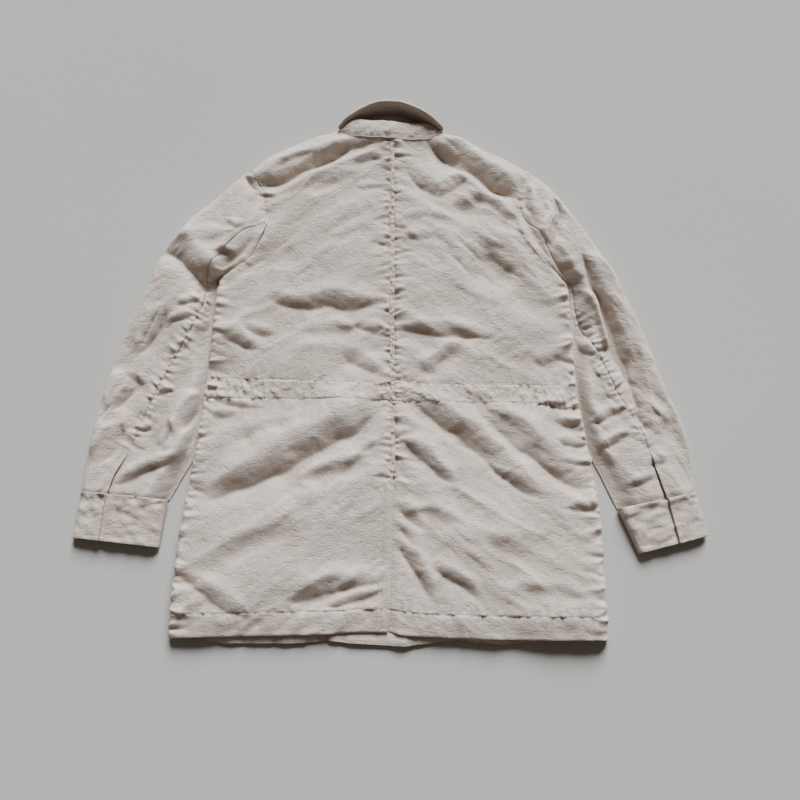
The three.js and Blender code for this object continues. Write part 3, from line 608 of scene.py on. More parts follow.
CENTRE_SEAM = ((2, 375), (2, 300), (2, 200), (2, 100), (3, 0), (4, -100), (4, -186))
CENTRE_ROWS = tuple(tuple((x + shift, y) for x, y in CENTRE_SEAM) for shift in (-4, 4))
CASING_TOP = ((-289, -22), (-157, -29), (-26, -34), (38, -30), (78, -36), (250, -36), (293, -37))
CASING_FOOT = ((-291, -56), (-183, -57), (-1, -60), (77, -63), (180, -65), (295, -67))
HEM_LINE = ((-329, -384), (-203, -381), (-92, -379), (-4, -377), (30, -382), (138, -386), (325, -388))
VENT_EDGE = ((4, -186), (2, -262), (0, -330), (-3, -410))
VENT_STAY = ((-60, -214), (-28, -201), (2, -186))
SIDE_ROWS = (9, 10, 11, 13, 14, 15, 16, 17, 19)
SIDE_SEAMS = {
    Side.LEFT: ((-278, 136), *body_edge(Side.LEFT, SIDE_ROWS)),
    Side.RIGHT: ((281, 132), *body_edge(Side.RIGHT, SIDE_ROWS)),
}
ARMHOLES = {side: body_edge(side, range(UNDERARM_ROW + 1)) for side in Side}
LOWER_ARMHOLES = {
    Side.LEFT: ((-206, 250), (-206, 230), (-213, 211), (-226, 187), (-244, 166), (-264, 153), (-280, 140)),
    Side.RIGHT: ((208, 250), (209, 230), (214, 211), (228, 189), (243, 172), (262, 154), (282, 134)),
}
SEAM_GROOVES = [
    crease(1.5, -1.3, *CENTRE_ROWS[0], fade=0.01),
    crease(1.5, -1.3, *CENTRE_ROWS[1], fade=0.01),
    crease(1.6, -0.6, *CASING_TOP, fade=0.01),
    crease(1.6, -0.6, *CASING_FOOT, fade=0.01),
    crease(1.8, -1.1, *HEM_LINE, fade=0.01),
    crease(1.5, -1.0, *((x + 3, y - 1) for x, y in ARMHOLES[Side.LEFT]), fade=0.03),
    crease(1.5, -1.0, *((x - 3, y - 1) for x, y in ARMHOLES[Side.RIGHT]), fade=0.03),
    crease(1.6, -0.8, *VENT_STAY, fade=0.05),
    crease(1.6, -0.7, *((x - 12, y) for x, y in VENT_EDGE), fade=0.03),
    ridge(4.0, 5.5, *LOWER_ARMHOLES[Side.LEFT], fade=0.15),
    ridge(4.0, 5.0, *LOWER_ARMHOLES[Side.RIGHT], fade=0.15),
]
# The back's folds, from the shoulders down: first the left half's, then the right half's.
BACK_RELIEF = Relief([
    *SEAM_GROOVES,
    slope(16, 25, (-240, 290), (-211, 310), (-167, 330), (-131, 346), (-94, 359), (-56, 370),
          fade=0.3, sharp=0.72),
    slope(8, 10, (-120, 352), (-80, 364), (-44, 370), (-8, 373), fade=0.35, sharp=0.75),
    ridge(8, 5, (-196, 278), (-160, 300), (-120, 320), (-76, 338), (-26, 352), fade=0.25),
    ridge(6, -4, (-206, 316), (-167, 338), (-120, 358), fade=0.4),
    slope(6, 6, (-64, 334), (-31, 344), (-4, 350), sharp=0.7),
    slope(13, 8, (-160, 286), (-110, 304), (-40, 316), fade=0.4),
    slope(5, 4, (-62, 290), (-26, 296), (4, 302), sharp=0.7),
    slope(25, 15, (-250, 104), (-216, 162), (-186, 206), (-154, 236), fade=0.4),
    slope(9, 4, (-110, 196), (-66, 214), (-12, 240)),
    slope(13, 12, (-206, 120), (-164, 102), (-130, 99), (-97, 104), (-60, 100), (2, 103),
          fade=0.3, sharp=0.78),
    slope(9, 5, (-150, 52), (-96, 56), (-44, 62)),
    slope(8, 5, (-60, 66), (-30, 58), (-4, 62), sharp=0.7),
    slope(11, 7, (-80, 24), (-42, 2), (-4, -18), sharp=0.8),
    ridge(12, 3.5, (-170, 20), (-110, 34), (-60, 30)),
    slope(10, 8.5, (-288, 66), (-241, 40), (-192, 15), fade=0.4, sharp=0.75),
    slope(7, 5, (-236, 66), (-214, 52), (-180, 47), sharp=0.7),
    slope(22, 25, (-300, -214), (-215, -172), (-154, -137), (-101, -110), (-47, -82), (0, -52),
          fade=0.25, sharp=0.7),
    slope(10, 9, (-144, -182), (-83, -164), (-28, -143)),
    slope(9, 4, (-250, -120), (-190, -96), (-140, -88)),
    slope(6, 4, (-104, -259), (-79, -239), (-52, -214)),
    slope(20, 6, (-280, -290), (-200, -262), (-110, -250)),
    slope(13, 10.5, (-330, -316), (-285, -339), (-246, -364), (-196, -390), fade=0.4, sharp=0.8),
    slope(14, 15, (-170, -360), (-120, -350), (-90, -341), (-57, -335), (-2, -327), sharp=0.7),
    slope(7, 9, (-107, -370), (-75, -366), (-42, -357), (-6, -346), sharp=0.7),
    ridge(7, 4, (-100, -362), (-72, -340), (-48, -316)),
    slope(17, 25, (56, 384), (86, 366), (117, 348), (148, 328), (179, 303), (216, 270),
          fade=0.25, sharp=0.72),
    ridge(9, 6.5, (84, 344), (130, 307), (162, 277), (214, 232), fade=0.2),
    slope(13, 10, (20, 340), (54, 304), (96, 272), fade=0.45, sharp=0.75),
    slope(11, 8, (70, 276), (100, 300), (138, 320), fade=0.45, sharp=0.75),
    slope(10, 8, (94, 262), (121, 266), (154, 283)),
    slope(6, 4, (20, 216), (44, 210), (70, 214), sharp=0.7),
    slope(7, 4, (14, 240), (60, 244), (110, 236)),
    slope(27, 15, (118, 244), (160, 196), (214, 136), (268, 108), fade=0.45),
    crease(1.8, -1.5, (205, 172), (188, 127), (156, 66), fade=0.15),
    slope(7, 3.5, (200, 168), (184, 127), (160, 70)),
    slope(16, 6, (150, 96), (200, 108), (262, 92)),
    slope(11, 11.5, (4, 61), (62, 57), (110, 52), (170, 40), fade=0.35, sharp=0.74),
    slope(11, 8, (34, -20), (79, 9), (124, 38)),
    slope(10, 7, (222, 1), (259, 11), (292, 28)),
    slope(17, 18, (21, -50), (52, -63), (86, -85), (123, -110), (154, -138), (184, -169), (240, -216),
          fade=0.22, sharp=0.75),
    slope(17, 18, (130, -70), (178, -96), (216, -129), (261, -164), (304, -200), fade=0.25, sharp=0.75),
    slope(10, 13, (12, -116), (46, -137), (76, -164), (104, -196), sharp=0.8),
    slope(8, 8, (6, -214), (30, -236), (54, -262), sharp=0.8),
    slope(8, 5, (4, -246), (60, -232), (120, -252)),
    slope(16, 6, (130, -262), (190, -280), (250, -262)),
    slope(8, 6, (4, -242), (27, -261), (50, -286), sharp=0.8),
    slope(10, 13, (6, -266), (30, -294), (51, -327), (69, -365), sharp=0.8),
    slope(10, 9.5, (52, -304), (90, -324), (120, -342), (148, -370), fade=0.4, sharp=0.75),
    slope(8, 8, (262, -226), (292, -221), (326, -218), sharp=0.7),
    slope(12, 7, (170, -352), (230, -344), (300, -360)),
    slope(6, 5.5, (-292, -76), (-262, -83), (-230, -77), fade=0.35, sharp=0.75),
    slope(6, 5.5, (-288, -55), (-234, -67), (-190, -72), fade=0.4, sharp=0.75),
    slope(6, 6, (224, -62), (264, -67), (296, -64), fade=0.4, sharp=0.75),
    slope(6, 6, (252, -89), (284, -95), (304, -99), fade=0.4, sharp=0.75),
    slope(6, 8, (252, -120), (284, -127), (309, -129), fade=0.35, sharp=0.7),
    slope(5, 5, (260, -150), (288, -156), (312, -158), fade=0.35, sharp=0.7),
    slope(4, 4, (-214, 286), (-200, 282), (-184, 281), fade=0.35),
    crease(1.8, 0.9, (-119, 250), (-119, 0), (-118, -300), fade=0.05),
    crease(1.8, 0.8, (150, 40), (153, -120), (158, -350), fade=0.05),
    Gather(CENTRE_ROWS[0], 9, 3.2, 19, left=0.0, seed=3),
    Gather(CENTRE_ROWS[1], 9, 3.2, 19, right=0.0, seed=13),
    Gather(CENTRE_ROWS[0], 5.2, 2.2, 8, left=0.3, seed=4),
    Gather(CENTRE_ROWS[1], 5.2, 2.2, 8, right=0.3, seed=14),
    Gather(CENTRE_SEAM, 5.0, 2.4, 4.5, seed=2),
    Gather(CASING_TOP, 5.5, 1.5, 7, seed=5),
    Gather(CASING_FOOT, 5.5, 1.5, 8, seed=6),
    Gather(CASING_FOOT, 15, 1.8, 20, left=0.0, seed=30),
    Gather(((-289, -22), (-250, -24), (-190, -27)), 8, 2.2, 17, seed=25),
    Gather(((-291, -56), (-250, -57), (-190, -57)), 8, 2.6, 17, seed=26),
    Gather(((200, -36), (250, -36), (293, -37)), 8, 2.2, 15, seed=27),
    Gather(((200, -65), (250, -66), (296, -67)), 8, 2.8, 18, seed=28),
    Gather(HEM_LINE, 9, 2.2, 12, right=0.7, seed=7),
    Gather(HEM_LINE, 17, 1.6, 30, left=0.0, seed=29),
    Gather(VENT_STAY, 5, 1.3, 8, seed=8),
    Gather(SIDE_SEAMS[Side.LEFT], 9.5, 5.4, 17, seed=9),
    Gather(SIDE_SEAMS[Side.RIGHT], 10.5, 6.4, 18, seed=10),
    Gather(ARMHOLES[Side.LEFT], 9, 1.6, 10, seed=11),
    Gather(ARMHOLES[Side.RIGHT], 9, 1.6, 10, seed=12),
    Grain(110, 80, 4.0, 0.2, 21),
    Fanned(Grain(90, 24, 2.6, -0.55, 22)),
    Fanned(Crumple(110, 30, 3.6, -0.5, 24)),
    Fanned(Crumple(52, 15, -2.0, -0.7, 25)),
    Crumple(24, 12, 1.3, 0.6, 26),
    Fanned(Crumple(20, 7, -0.9, -0.45, 27)),
    Crumple(9, 6, 0.5, 0.2, 28),
])

# The sleeves' folds, from the shoulder to the cuff.
SLEEVE_RELIEF = {
    Side.LEFT: Relief([
        slope(20, 24, (-356, 208), (-326, 180), (-303, 156), (-276, 126), fade=0.12, sharp=0.7),
        ridge(11, 6, (-352, 204), (-308, 213), (-252, 219)),
        ridge(10, -12, (-270, 190), (-266, 168), (-262, 148)),
        slope(5, 4, (-272, 242), (-251, 227), (-235, 237), sharp=0.7),
        slope(9, 9, (-234, 324), (-226, 306), (-212, 290), sharp=0.7),
        slope(8, 4, (-330, 262), (-296, 286), (-262, 300)),
        crease(2.6, -3.0, (-400, 16), (-381, 56), (-359, 92), fade=0.3),
        slope(12, 12, (-404, 8), (-381, 54), (-355, 96), sharp=0.8),
        slope(5, 8, (-340, 92), (-320, 101), (-297, 107), sharp=0.7),
        slope(5, 8, (-352, 66), (-331, 73), (-309, 82), sharp=0.7),
        slope(5, 7, (-308, 50), (-296, 64), (-287, 76), sharp=0.8),
        slope(5, 4, (-415, -13), (-398, -25), (-376, -31), fade=0.4, sharp=0.75),
        slope(5, 9, (-394, -111), (-383, -102), (-370, -97), sharp=0.7),
        slope(9, 12, (-430, -194), (-384, -168), (-354, -156), (-322, -142), fade=0.3, sharp=0.72),
        slope(12, 18, (-330, -116), (-318, -82), (-290, -46), fade=0.25, sharp=0.9),
        ridge(5, 6, (-349, -146), (-339, -113), (-330, -80)),
        ridge(4.5, 5, (-360, -134), (-353, -110), (-344, -88)),
        slope(6, 6, (-344, 10), (-330, 24), (-314, 30), sharp=0.8),
        slope(6, 6, (-366, -54), (-350, -44), (-330, -42), sharp=0.8),
        crease(2, -3.2, (-301, -107), (-315, -141), (-331, -181), (-344, -210), fade=0.05),
        slope(7, 7, (-352, -196), (-336, -158), (-316, -122), (-300, -88), fade=0.2),
        ridge(7, -5, (-216, 214), (-233, 190), (-252, 172), (-272, 160)),
        slope(14, 14, (-442, -80), (-420, -40), (-402, -8), sharp=0.8),
        slope(14, 12, (-458, -160), (-436, -120), (-420, -90), sharp=0.8),
        Grain(120, 34, 5.0, 1.15, 31),
        Grain(50, 15, 1.6, 1.0, 32),
        Crumple(100, 24, 4.0, 1.1, 34),
        Crumple(44, 14, -2.2, 0.8, 35),
        Crumple(22, 11, 1.3, 0.3, 36),
        Crumple(17, 7, -0.8, 0.9, 37),
        Crumple(8, 6, 0.45, 0.2, 38),
    ]),
    Side.RIGHT: Relief([
        slope(15, 24, (308, 190), (334, 142), (352, 90), (374, 20), (394, -56), (408, -126), fade=0.15,
              sharp=0.75),
        ridge(9, -6, (304, 170), (324, 134), (342, 84), (362, 16), (382, -56), fade=0.25),
        ridge(7, 11, (303, 128), (327, 92), (338, 60), (345, 14), fade=0.2),
        slope(9, 11.5, (214, 304), (227, 271), (238, 240), sharp=0.7),
        slope(9, 11, (240, 226), (240, 258), (238, 296), fade=0.45, sharp=0.8),
        slope(10, 15, (250, 182), (262, 230), (264, 284), fade=0.4, sharp=0.75),
        crease(2.0, -2.6, (246, 184), (263, 230), (269, 276), (262, 300), fade=0.15),
        slope(6, 8, (358, -192), (383, -184), (408, -172), fade=0.4, sharp=0.75),
        slope(6, 8, (306, -97), (335, -82), (367, -66), sharp=0.8),
        slope(6, 8, (317, -135), (346, -122), (374, -107), sharp=0.8),
        crease(1.8, -1.8, (333, -47), (351, -69), (362, -97), fade=0.2),
        crease(1.8, 1.8, (321, -2), (334, -28), (343, -56), fade=0.2),
        crease(1.8, 1.5, (318, -110), (340, -132), (352, -160), fade=0.2),
        slope(7, 7, (298, 34), (316, 18), (330, 10), sharp=0.8),
        slope(6, 4, (383, -80), (402, -100), (424, -122), fade=0.45, sharp=0.8),
        slope(6, 3.5, (400, -60), (418, -84), (436, -100), fade=0.45, sharp=0.8),
        crease(2.4, -4.5, (313, -160), (327, -190), (353, -223), fade=0.1),
        slope(5.5, 3.5, (257, 168), (282, 160), (309, 168), fade=0.4, sharp=0.8),
        slope(5.5, 3.5, (265, 149), (287, 139), (312, 144), fade=0.4, sharp=0.8),
        slope(5.5, 4, (271, 129), (290, 119), (316, 127), fade=0.4, sharp=0.8),
        slope(12, 9, (388, 40), (404, -20), (424, -70), fade=0.3),
        slope(7, 6, (396, -160), (412, -152), (430, -154), sharp=0.7),
        Grain(120, 34, 5.0, -1.15, 41),
        Grain(50, 15, 1.8, -1.0, 42),
        Crumple(100, 24, 4.2, -1.1, 44),
        Crumple(44, 14, -2.4, -0.8, 45),
        Crumple(22, 11, 1.4, -0.3, 46),
        Crumple(17, 7, -0.9, -0.9, 47),
        Crumple(8, 6, 0.45, -0.2, 48),
    ]),
}
SLEEVE_SEAMS = {
    Side.LEFT: ((-289, 146), (-286, 120), (-304, 84), (-319, 51), (-336, 20), (-350, -14),
                (-364, -38), (-377, -73), (-385, -90), (-393, -115), (-401, -137)),
    Side.RIGHT: ((273, 154), (288, 81), (301, 59), (315, 38), (331, 9), (344, -25),
                 (356, -44), (365, -65), (375, -87), (385, -111), (397, -140)),
}
SLEEVE_GATHERS = {
    Side.LEFT: [Gather(SLEEVE_SEAMS[Side.LEFT], 7.5, 3.4, 14, seed=13)],
    Side.RIGHT: [
        Gather(SLEEVE_SEAMS[Side.RIGHT], 7.5, 2.8, 12, seed=14),
        Gather(SLEEVE_SEAMS[Side.RIGHT][1:7], 6.5, 5.5, 18, left=1.0, right=0.1, seed=15),
    ],
}


class Socket:
    """A shader value, so that maths on values reads as plain expressions."""

    def __init__(self, shader: "Shader", output: bpy.types.NodeSocket | float) -> None:
        """Wraps an output or a number of one shader's nodes."""
        self.shader = shader
        self.output = output

    def _maths(self, operation: str, *values: "Socket | float") -> "Socket":
        """Adds one Math node that works on the values."""
        return self.shader.node("ShaderNodeMath", {"operation": operation}, dict(enumerate(values)))

    def __add__(self, other: "Socket | float") -> "Socket":
        """Sum."""
        return self._maths("ADD", self, other)

    def __radd__(self, other: float) -> "Socket":
        """Sum with a number on the left."""
        return self._maths("ADD", other, self)

    def __sub__(self, other: "Socket | float") -> "Socket":
        """Difference."""
        return self._maths("SUBTRACT", self, other)

    def __rsub__(self, other: float) -> "Socket":
        """Difference from a number on the left."""
        return self._maths("SUBTRACT", other, self)

    def __mul__(self, other: "Socket | float") -> "Socket":
        """Product."""
        return self._maths("MULTIPLY", self, other)

    def __rmul__(self, other: float) -> "Socket":
        """Product with a number on the left."""
        return self._maths("MULTIPLY", other, self)

    def sine(self) -> "Socket":
        """Sine of the value in radians."""
        return self._maths("SINE", self)

    def absolute(self) -> "Socket":
        """The value without its sign."""
        return self._maths("ABSOLUTE", self)

    def clamp(self) -> "Socket":
        """The value held between 0 and 1."""
        return self.shader.node("ShaderNodeClamp", {}, {"Value": self})


class Shader:
    """Nodes of one material, with a Principled shader at their end."""

    def __init__(self, name: str) -> None:
        """Makes an empty material with its output and Principled shader.

        Args:
            name: Name of the material.
        """
        self.material = bpy.data.materials.new(name)
        self.material.use_nodes = True
        self.tree = self.material.node_tree
        self.tree.nodes.clear()
        self.surface = self.tree.nodes.new("ShaderNodeBsdfPrincipled")
        output = self.tree.nodes.new("ShaderNodeOutputMaterial")
        self.tree.links.new(self.surface.outputs["BSDF"], output.inputs["Surface"])

    def node(self, kind: str, settings: dict, inputs: dict, output: int | str = 0) -> Socket:
        """Adds a node.

        Args:
            kind: Type of the node.
            settings: Its settings, which are set first.
            inputs: Values or links by the name or number of its sockets.
            output: Name or number of the output that is wanted.

        Returns:
            That output.
        """
        made = self.tree.nodes.new(kind)
        for key, value in settings.items():
            setattr(made, key, value)
        for key, value in inputs.items():
            self.put(made.inputs[key], value)
        return Socket(self, made.outputs[output])

    def put(self, socket: bpy.types.NodeSocket, value: object) -> None:
        """Links a value to a socket, or sets it there.

        Args:
            socket: The socket.
            value: An output to link, or a number or colour to set.
        """
        value = value.output if isinstance(value, Socket) else value
        if isinstance(value, bpy.types.NodeSocket):
            self.tree.links.new(value, socket)
        elif isinstance(value, tuple) and len(socket.default_value) > len(value):
            socket.default_value = (*value, 1.0)
        else:
            socket.default_value = value

    def finish(self, **values: object) -> bpy.types.Material:
        """Sets or links sockets of the Principled shader.

        Args:
            **values: Values by the names of the sockets, with underscores for spaces.

        Returns:
            The material.
        """
        for key, value in values.items():
            self.put(self.surface.inputs[key.replace("_", " ")], value)
        return self.material

    def noise(self, vector: Socket, scale: float, detail: float, rough: float = 0.5) -> Socket:
        """Value of a noise texture, about 0.5 on average."""
        inputs = {"Vector": vector, "Scale": scale, "Detail": detail, "Roughness": rough}
        return self.node("ShaderNodeTexNoise", {}, inputs, "Fac")

    def stretched(self, vector: Socket, *scale: float) -> Socket:
        """The vector times a scale for each axis."""
        inputs = {0: vector, 1: tuple(scale)}
        return self.node("ShaderNodeVectorMath", {"operation": "MULTIPLY"}, inputs)

    def mix(self, share: Socket, low: Colour | Socket, high: Colour | Socket) -> Socket:
        """Colour between two colours.

        Args:
            share: Share of the way from low to high.
            low: Colour where the share is 0.
            high: Colour where the share is 1.

        Returns:
            The colour.
        """
        inputs = {0: share, 6: low, 7: high}
        return self.node("ShaderNodeMix", {"data_type": "RGBA"}, inputs, 2)

    def attribute(self, name: str) -> Socket:
        """A value that each point of the mesh carries."""
        return self.node("ShaderNodeAttribute", {"attribute_name": name}, {}, "Fac")

    def bump(self, height: Socket, distance: float, strength: float = 1.0) -> Socket:
        """Normal bent by a height."""
        inputs = {"Height": height, "Distance": distance, "Strength": strength}
        return self.node("ShaderNodeBump", {}, inputs, "Normal")


@dataclass(frozen=True)
class ShellCloth:
    """Thin crisp cloth of nylon and cotton: stone beige, finely crinkled, with a faint sheen."""

    name: str = "shell_cloth"
    colour: Colour = (0.590, 0.513, 0.460)
    warm: Colour = (0.525, 0.437, 0.365)
    # hollows are painted towards this colour: a painted shade that stands in for the shade in the folds
    shade: Colour = (0.360, 0.290, 0.240)
    # crests are painted towards this colour: partly real wear, partly a painted highlight
    worn: Colour = (0.680, 0.610, 0.560)
    roughness: float = 0.58
    crinkle: float = 0.0031              # depth of the crinkles
    thread: float = 0.0009               # pitch of the weave

    def material(self) -> bpy.types.Material:
        """Builds the cloth.

        Returns:
            The material, which reads the cloth's own UV places in metres.
        """
        shader = Shader(self.name)
        place = shader.node("ShaderNodeUVMap", {"uv_map": "cloth"}, {}, "UV")
        long_crinkles = shader.noise(shader.stretched(place, 85, 125, 1), 1.0, 4, 0.62)
        cross_crinkles = shader.noise(shader.stretched(place, 260, 330, 1), 1.0, 3, 0.6)
        creases = (long_crinkles - 0.5).absolute() + (cross_crinkles - 0.5).absolute() * 0.45
        blotch = shader.noise(place, 9.0, 3)
        dust = shader.noise(place, 420.0, 2)
        across = shader.node("ShaderNodeSeparateXYZ", {}, {0: place}, "X")
        along = shader.node("ShaderNodeSeparateXYZ", {}, {0: place}, "Y")
        turn = 2 * math.pi / self.thread
        weave = (across * turn).sine() * (along * turn).sine()
        hollow = shader.attribute("hollow")
        raised = shader.attribute("raised")
        colour = shader.mix((blotch * 1.6 - 0.45).clamp(), self.colour, self.warm)
        # crests lighten: partly real wear, partly a painted highlight
        colour = shader.mix((raised * 0.55).clamp(), colour, self.worn)
        # hollows darken: painted shade in the troughs of the folds
        colour = shader.mix((hollow * 0.4).clamp(), colour, self.shade)
        colour = shader.mix((dust * 0.5 - 0.2).clamp(), colour, self.warm)
        height = long_crinkles * 0.5 + cross_crinkles * 0.3 - creases * 0.9 + weave * 0.03
        return shader.finish(
            Base_Color=colour,
            Roughness=self.roughness + (long_crinkles - 0.5) * 0.12,
            Specular_IOR_Level=0.32,
            Sheen_Weight=0.12,
            Sheen_Roughness=0.4,
            Normal=shader.bump(height, self.crinkle),
        )


# Finish of the collar arch's inside face: the same beige cloth, given dark colours that paint the deep
# shade inside the arch
PAINTED_COLLAR_SHADE = ShellCloth(
    name="collar_inside", colour=(0.165, 0.114, 0.085), warm=(0.150, 0.103, 0.076),
    shade=(0.100, 0.070, 0.053), worn=(0.185, 0.132, 0.102),
)


@dataclass(frozen=True)
class Thread:
    """Sewing thread, a shade darker than the cloth, with its twist."""

    name: str = "thread"
    light: Colour = (0.46, 0.40, 0.35)
    dark: Colour = (0.30, 0.25, 0.21)

    def material(self) -> bpy.types.Material:
        """Builds the thread.

        Returns:
            The material.
        """
        shader = Shader(self.name)
        place = shader.node("ShaderNodeTexCoord", {}, {}, "Object")
        twist = shader.noise(shader.stretched(place, 2600, 2600, 900), 1.0, 1)
        return shader.finish(
            Base_Color=shader.mix(twist, self.dark, self.light),
            Roughness=0.7,
            Sheen_Weight=0.15,
            Normal=shader.bump(twist, 0.00008),
        )


@dataclass(frozen=True)
class StudioFloor:
    """Plain pale floor."""

    name: str = "studio_floor"
    light: Colour = (0.44, 0.435, 0.425)
    dark: Colour = (0.41, 0.405, 0.395)

    def material(self) -> bpy.types.Material:
        """Builds the floor.

        Returns:
            The material.
        """
        shader = Shader(self.name)
        place = shader.node("ShaderNodeTexCoord", {}, {}, "Object")
        cloud = shader.noise(place, 3.0, 4)
        grain = shader.noise(place, 300.0, 2)
        return shader.finish(
            Base_Color=shader.mix(cloud, self.dark, self.light),
            Roughness=0.85,
            Normal=shader.bump(grain, 0.0003),
        )


@dataclass
class ClothSheet:
    """One piece of cloth as a grid of points, and the size it was cut to."""

    name: str
    grid: Array                          # rows x columns x 3, in millimetres
    flat: tuple[float, float]            # width and length of the cut, in millimetres
    area: float                          # share of that rectangle which the cut fills
    replaces: tuple[str, ...]
    held: str
    rests_on: tuple[str, ...]
    thickness: float = CLOTH
    inside: bpy.types.Material | None = None         # finish of its other face, if that differs

    def lengths(self) -> Array:
        """Place of each point on the flat cloth.

        Returns:
            Two places for each point. On laid cloth, height adds to both, so that a steep fold
            isn't stretched.
        """
        if self.held == "laid":
            lean = 0.7 * self.grid[:, :, 2]
            across = self.grid[:, :, 0] - np.sign(self.grid[:, :, 0].mean()) * lean
            return np.stack([across, self.grid[:, :, 1] + lean], axis=2)
        across = np.linalg.norm(np.diff(self.grid, axis=1), axis=2)
        down = np.linalg.norm(np.diff(self.grid, axis=0), axis=2)
        u = np.pad(np.cumsum(across, axis=1), ((0, 0), (1, 0)))
        v = np.pad(np.cumsum(down, axis=0), ((1, 0), (0, 0)))
        return np.stack([u - u.mean(axis=1, keepdims=True), -v], axis=2)

    def unevenness(self) -> Array:
        """How far each point of laid cloth stands above the mean height round it.

        Returns:
            A height for each point, in millimetres, and 0 on cloth that isn't laid.
        """
        z = self.grid[:, :, 2]
        span = 6
        padded = np.pad(z, span, mode="edge")
        shifts = range(-span, span + 1, 2)
        rows, columns = z.shape
        around = [padded[span + i:span + i + rows, span + j:span + j + columns]
                  for i in shifts for j in shifts]
        return (z - np.mean(around, axis=0)) * (self.held == "laid")

    def mesh(self) -> bpy.types.Mesh:
        """Makes the sheet's mesh, with its faces turned up.

        Returns:
            The mesh, whose points say how far they are raised or hollow, for the cloth's painted highlight
            and wear on crests and its painted shade in hollows.
        """
        rows, columns = self.grid.shape[:2]
        at = np.arange(rows * columns).reshape(rows, columns)
        quads = np.stack([at[:-1, :-1], at[1:, :-1], at[1:, 1:], at[:-1, 1:]], axis=2)
        quads = quads.reshape(-1, 4)
        points = self.grid.reshape(-1, 3) * MM
        a, b, c = (points[quads[:, k]] for k in (0, 1, 2))
        upward = np.cross(b - a, c - a)[:, 2].reshape(rows - 1, columns - 1)
        if upward[:, :columns // 4].sum() < 0:
            quads = quads[:, ::-1]
        mesh = bpy.data.meshes.new(self.name)
        mesh.from_pydata(points.tolist(), [], quads.tolist())
        mesh.validate()
        corner = np.zeros(len(mesh.loops), np.int32)
        mesh.loops.foreach_get("vertex_index", corner)
        layer = mesh.uv_layers.new(name="cloth")
        layer.data.foreach_set("uv", (self.lengths().reshape(-1, 2)[corner] * MM).ravel())
        # raised carries the painted highlight and wear on crests, hollow the painted shade in hollows
        uneven = self.unevenness().ravel() / FULL_RELIEF
        for name, values in (("raised", uneven), ("hollow", -uneven)):
            attribute = mesh.attributes.new(name, "FLOAT", "POINT")
            attribute.data.foreach_set("value", np.clip(values, 0, 1))
        mesh.shade_smooth()
        return mesh

    def build(self, material: bpy.types.Material) -> bpy.types.Object:
        """Args:
            material: The cloth's finish.

        Returns:
            The object.
        """
        mesh = self.mesh()
        mesh.materials.append(material)
        made = bpy.data.objects.new(self.name, mesh)
        bpy.context.scene.collection.objects.link(made)
        solid = made.modifiers.new("thickness", "SOLIDIFY")
        if self.inside:
            mesh.materials.append(self.inside)
            solid.material_offset = 1
        solid.thickness = self.thickness * MM
        solid.offset = -1
        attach(made, BODY)
        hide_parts(*self.replaces)
        width, length = (size * MM for size in self.flat)
        list(self.rests_on)
        self.area * width * length
        log.info("%s: %d points", self.name, len(mesh.vertices))
        return made


class Pair:
    """Two pieces of cloth, one for each of the wearer's sides."""

    finish: bpy.types.Material

    def sheet(self, side: Side) -> ClothSheet:
        """The piece for one side, before it is made."""
        raise NotImplementedError

    def build(self) -> list[bpy.types.Object]:
        """Makes both pieces."""
        return [self.sheet(side).build(self.finish) for side in Side]


def rows_by_depth(table: Table, key: str, depths: Array) -> Array:
    """Rows of a table at distances down from its first row.

    Args:
        table: The table.
        key: Column that falls from row to row.
        depths: Distances below the first row's value.

    Returns:
        A fraction of a row for each distance.
    """
    fine = table.parts(60)
    fallen = table.at(key, 0) - table.at(key, fine)
    return np.interp(depths, np.maximum.accumulate(fallen), fine)


def along_x(table: Table, key: str, x: Array) -> Array:
    """Value of a column on straight lines between a table's points, at the given x."""
    return np.interp(x, table.values["x"], table.values[key])


def body_plan(side: Side, x: Array, row: Array, top: Table, hem: Table) -> Array:
    """Y of the body's rows at the given x.

    Args:
        side: Side whose edge the row runs to.
        x: X of the points.
        row: Row of each point.
        top: Line of the upper edge.
        hem: Line of the lower edge.

    Returns:
        Y of each point.
    """
    def edge(at: Array | float) -> tuple[Array, Array]:
        """Place of the body's edge at a row."""
        return BODY_ROWS.at(f"{side.word}_x", at), BODY_ROWS.at(f"{side.word}_y", at)

    seam = BODY_ROWS.at("mid_x", row)
    u = np.maximum((x - seam) / (edge(row)[0] - seam), 0)
    last = BODY_ROWS.last
    straight = between(BODY_ROWS.at("mid_y", row), edge(row)[1], u)
    lifts = []
    for line, end in ((top, 0), (hem, last)):
        end_x = between(BODY_ROWS.at("mid_x", end), edge(end)[0], u)
        end_y = between(BODY_ROWS.at("mid_y", end), edge(end)[1], u)
        lifts.append(along_x(line, "y", end_x) - end_y)
    near_top = 1 - smooth(0, UNDERARM_ROW, row)
    near_hem = smooth(last - 3, last, row)
    return straight + lifts[0] * near_top + lifts[1] * near_hem


HEM_TABLE = Table("x y", HEM_LINE)


